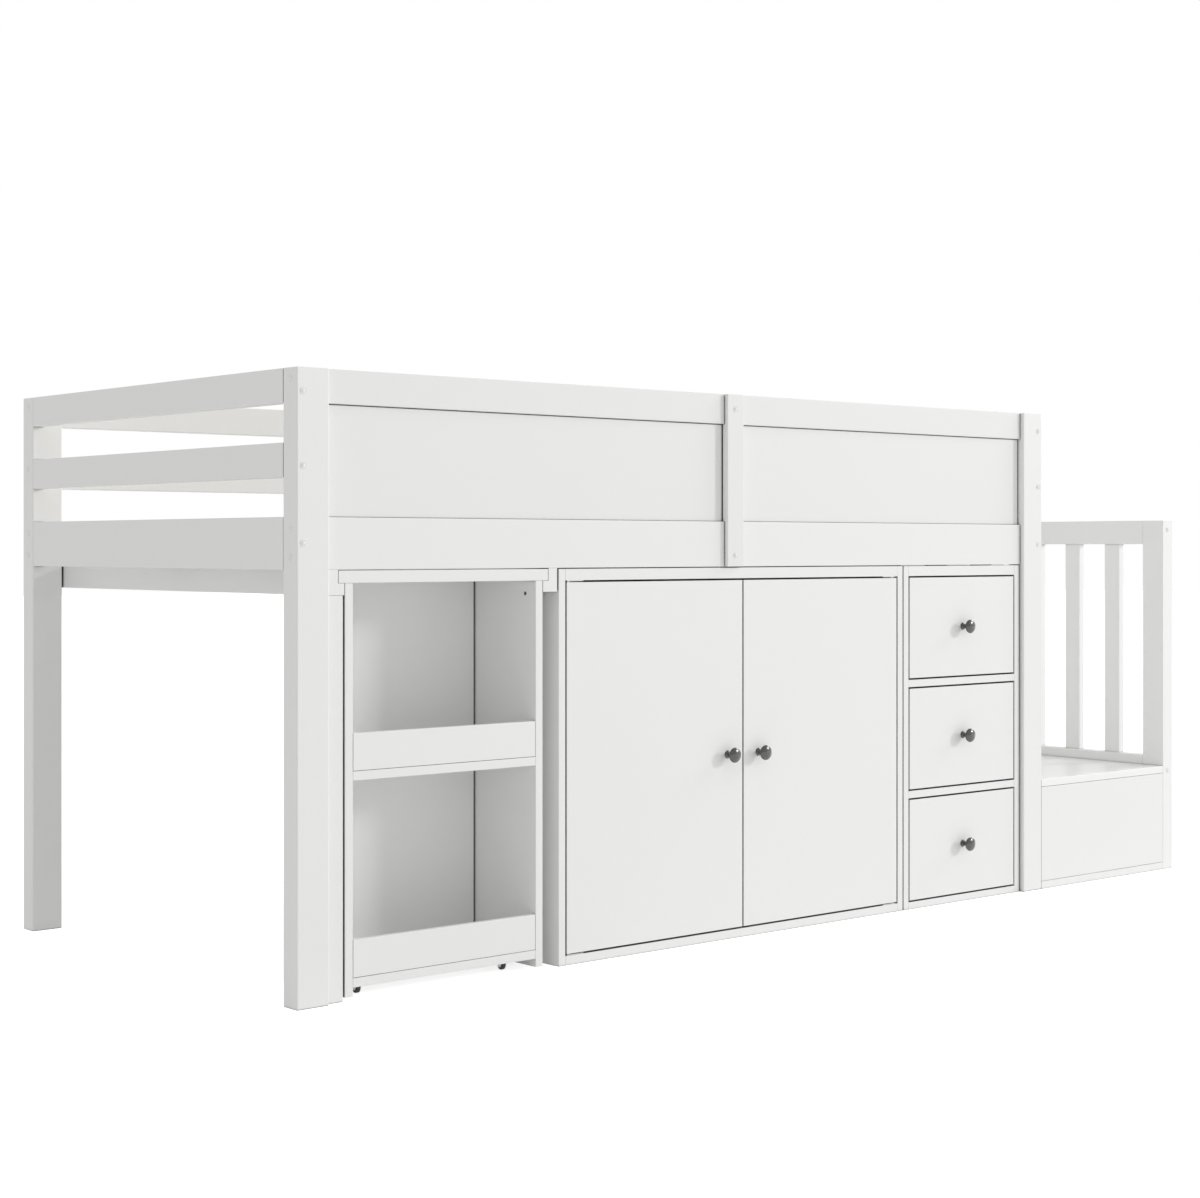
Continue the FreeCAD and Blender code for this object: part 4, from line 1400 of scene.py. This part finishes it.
@dataclass
class PullOutDesk(SubAssembly):
    """The sliding desktop with the shelf unit under its front, on four castors.

    Attributes:
        joint: The width of the open joints of the lips, and the radius of the back's edges.
        sheet: The thickness of the sheet behind the back panel.
        cover_place: How far the screw covers stand behind the shelves' front, and their height.
        cover: A screw cover.
        nails: The nails in the back.
        wheel: One half of a wheel's profile, in millimetres.
    """

    body: str = "desk"
    joint: float = 0.0006
    rounded: tuple[Rounded, ...] = (
        Rounded("desktop", Axis.X, BOARD, edge=0.0010),
        Rounded("shelf_unit_sides", Axis.Z, BOARD, edge=0.0010),
        Rounded("shelf_unit_shelves", Axis.X, BOARD, edge=0.0010),
        Rounded("shelf_unit_lips", Axis.X, BOARD, edge=0.0010, trim=((joint, 0, joint), (joint, 0, 0))),
    )
    kept: tuple[Kept, ...] = (Kept("castor_brackets", ZINC, edge=0.0002),)
    sheet: float = 0.0024
    cover_place: tuple = (0.032, 0.7046)
    cover: CrossHead = CrossHead(radius=0.0036, height=0.0005, depth=0.0003)
    nails: Nails = Nails(spacing=0.09)
    wheel: tuple = (
        (1.7, 1.2), (2.6, 1.2), (2.6, 1.2), (3.0, 0.5), (3.0, 0.5), (4.2, 0.5), (4.2, 0.5), (4.5, 1.3),
        (4.5, 1.3), (6.5, 1.3), (6.5, 1.3), (6.9, 0.3), (7.5, 0.0), (8.2, 0.2), (8.8, 0.9), (9.0, 2.0),
        (9.0, 4.0),
    )

    def back(self) -> list[Surface]:
        """The back panel, and a thin sheet behind it that closes the gaps beside it.

        Returns:
            Both boards.
        """
        low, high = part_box("shelf_unit_back")
        left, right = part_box("shelf_unit_shelves")[0].x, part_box("shelf_unit_shelves")[1].x
        panel = Solid.block((low.x, high.x), (low.y, high.y - self.sheet), (low.z, high.z))
        sheet = Solid.block((left, right), (high.y - self.sheet, high.y), (low.z, high.z))
        return [board(part, Axis.X, self.joint, self.joint) for part in (panel, sheet)]

    def castor_wheel(self, node: str) -> Surface:
        """A wheel with a rounded tyre, dished sides and a hub, the same on both sides.

        Args:
            node: The CAD wheel.

        Returns:
            The wheel.
        """
        low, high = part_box(node)
        half = np.array(self.wheel)
        width = (high.x - low.x) / TO_METRES
        mirrored = np.stack([half[::-1, 0], width - half[::-1, 1]], axis=1)
        place = (low.x, (low.y + high.y) / 2, (low.z + high.z) / 2)
        return Turning(np.concatenate([half, mirrored]), steps=2, around=40).at(place, (1, 0, 0))

    def build(self) -> None:
        """Makes the boards, the small covers inside the sides, the nails and the wheels."""
        super().build()
        self.add("rounded_shelf_unit_back", self.back(), BOARD, replaced=["shelf_unit_back"])
        low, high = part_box("shelf_unit_shelves")
        y, z = low.y + self.cover_place[0], self.cover_place[1]
        covers = [self.cover.at((x, y, z), (way, 0, 0)) for x, way in ((low.x, 1), (high.x, -1))]
        self.add("screw_covers", covers, WHEEL)
        self.add("shelf_unit_back_nails", self.nails.over("shelf_unit_back"), ZINC)
        for end in ("front", "rear"):
            for side in ("left", "right"):
                node = f"{end}_{side}_castor_wheel"
                self.add("tyred_" + node, [self.castor_wheel(node)], WHEEL, node, [node])


@dataclass(frozen=True)
class SoftLamp:
    """A square lamp turned to the object.

    Attributes:
        towards: The direction from the object to the lamp.
        light: The light on a face turned to it, at the middle of the object.
        size: Its side.
        distance: How far away it is.
    """

    towards: tuple
    light: float
    size: float
    distance: float = 24.0

    def hang(self, name: str) -> None:
        """Makes the lamp. Its power is its light times pi squared times the distance squared.

        Args:
            name: Its name.
        """
        data = bpy.data.lights.new(name, "AREA")
        data.shape = "SQUARE"
        data.size = self.size
        data.energy = self.light * math.pi ** 2 * self.distance ** 2
        lamp = bpy.data.objects.new(name, data)
        way = np.array(self.towards) / np.linalg.norm(self.towards)
        lamp.location = (way * self.distance).tolist()
        lamp.rotation_euler = (math.acos(way[2]), 0.0, math.atan2(way[1], way[0]) + math.pi / 2)
        bpy.context.scene.collection.objects.link(lamp)


@dataclass(frozen=True)
class Studio:
    """A pale floor, a white surround and two soft lamps to the right.

    Attributes:
        ambient: The light of the surround.
        front_lamp: The lamp to the front right.
        side_lamp: The lamp at the steps' end.
        glow: The light that the floor adds for the camera, so that it looks white.
        floor_tone: The floor's own tone.
        floor_reach: How far it goes from the origin.
    """

    ambient: float = 0.615
    front_lamp: SoftLamp = SoftLamp((29.2, -25.0, 12.2), 0.24, 3.0)
    side_lamp: SoftLamp = SoftLamp((35.0, -8.0, 20.0), 0.25, 8.0)
    glow: float = 0.75
    floor_tone: tuple = (0.94, 0.94, 0.94)
    floor_reach: float = 30.0

    def _seen(self, tree: ShaderTree) -> Wire:
        """A mask of the rays that show the surround itself: camera, mirror and glass rays."""
        rays = [tree.add("ShaderNodeLightPath", output=name)
                for name in ("Is Camera Ray", "Is Glossy Ray", "Is Transmission Ray")]
        return rays[0] | rays[1] | rays[2]

    def _surround(self) -> None:
        """White where it is seen, and softer as a light."""
        world = bpy.data.worlds.new("surround")
        tree = ShaderTree(world)
        strength = self.ambient + (1.0 - self.ambient) * self._seen(tree)
        tree.finish(tree.add("ShaderNodeBackground", {}, {"Color": (1, 1, 1, 1), "Strength": strength}))
        bpy.context.scene.world = world

    def _floor(self) -> None:
        """A level sheet that glows for the camera and keeps the object's shadow."""
        reach = self.floor_reach
        corners = [(-reach, -reach, 0.0), (reach, -reach, 0.0), (reach, reach, 0.0), (-reach, reach, 0.0)]
        mesh = bpy.data.meshes.new("floor")
        mesh.from_pydata(corners, [], [(0, 1, 2, 3)])
        material = bpy.data.materials.new("pale_floor")
        tree = ShaderTree(material)
        paint = tree.add("ShaderNodeBsdfDiffuse", {}, {"Color": (*self.floor_tone, 1.0)})
        glow = tree.add("ShaderNodeEmission", {}, {"Strength": self.glow * self._seen(tree)})
        tree.finish(tree.add("ShaderNodeAddShader", {}, {0: paint, 1: glow}))
        mesh.materials.append(material)
        floor = bpy.data.objects.new("floor", mesh)
        bpy.context.scene.collection.objects.link(floor)

    def set_up(self) -> None:
        """Makes the surround, the lamps and the floor."""
        self._surround()
        self.front_lamp.hang("front_lamp")
        self.side_lamp.hang("side_lamp")
        self._floor()
        bpy.context.scene.view_settings.view_transform = "Standard"


@dataclass(frozen=True)
class PhotoCamera:
    """The photograph's point of view, from the floor under the outer corner of the left front post.

    Attributes:
        stand: Where the camera stands.
        look: The level direction in which it looks.
        lens: The lens, in millimetres.
        sensor: The width of the sensor behind it, in millimetres.
        shift: How far the frame is moved off the lens's axis.
        far: How far the camera sees.
    """

    stand: tuple = (-1.9790, -3.1658, 0.78985)
    look: tuple = (0.656377, 0.754433)
    lens: float = 64.854
    sensor: float = 36.0
    shift: tuple = (-0.03333, -0.04247)
    far: float = 100.0

    def set_up(self) -> None:
        """Places the camera and makes it the scene's."""
        data = bpy.data.cameras.new("photo")
        data.sensor_width = self.sensor
        data.lens = self.lens
        data.shift_x, data.shift_y = self.shift
        data.clip_end = self.far
        camera = bpy.data.objects.new("photo", data)
        zero = np.array(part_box("post_front_left")[0])
        camera.location = (zero + self.stand).tolist()
        camera.rotation_euler = (math.pi / 2, 0.0, math.atan2(-self.look[0], self.look[1]))
        bpy.context.scene.collection.objects.link(camera)
        bpy.context.scene.camera = camera


def main() -> None:
    """Sets up the camera, builds and dresses the bed, logs each piece with its body and sets up the studio.
    """
    logging.basicConfig(level=logging.INFO, format="%(name)s: %(message)s")
    PhotoCamera().set_up()
    for part in (CornerPosts(), PanelledGuard(), OpenGuards(), BoltCovers(), MattressBase(), Steps(),
                 Railing(), DeskRails(), Cabinet(), Doors(), DrawerCase(), Drawer("top_drawer"),
                 Drawer("middle_drawer"), Drawer("bottom_drawer"), PullOutDesk()):
        part.build()
        part.dress()
        for piece in part.pieces:
            log.info("%s: %s on %s", type(part).__name__, piece.name, piece["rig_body"])
    Studio().set_up()


if __name__ == "__main__":
    main()
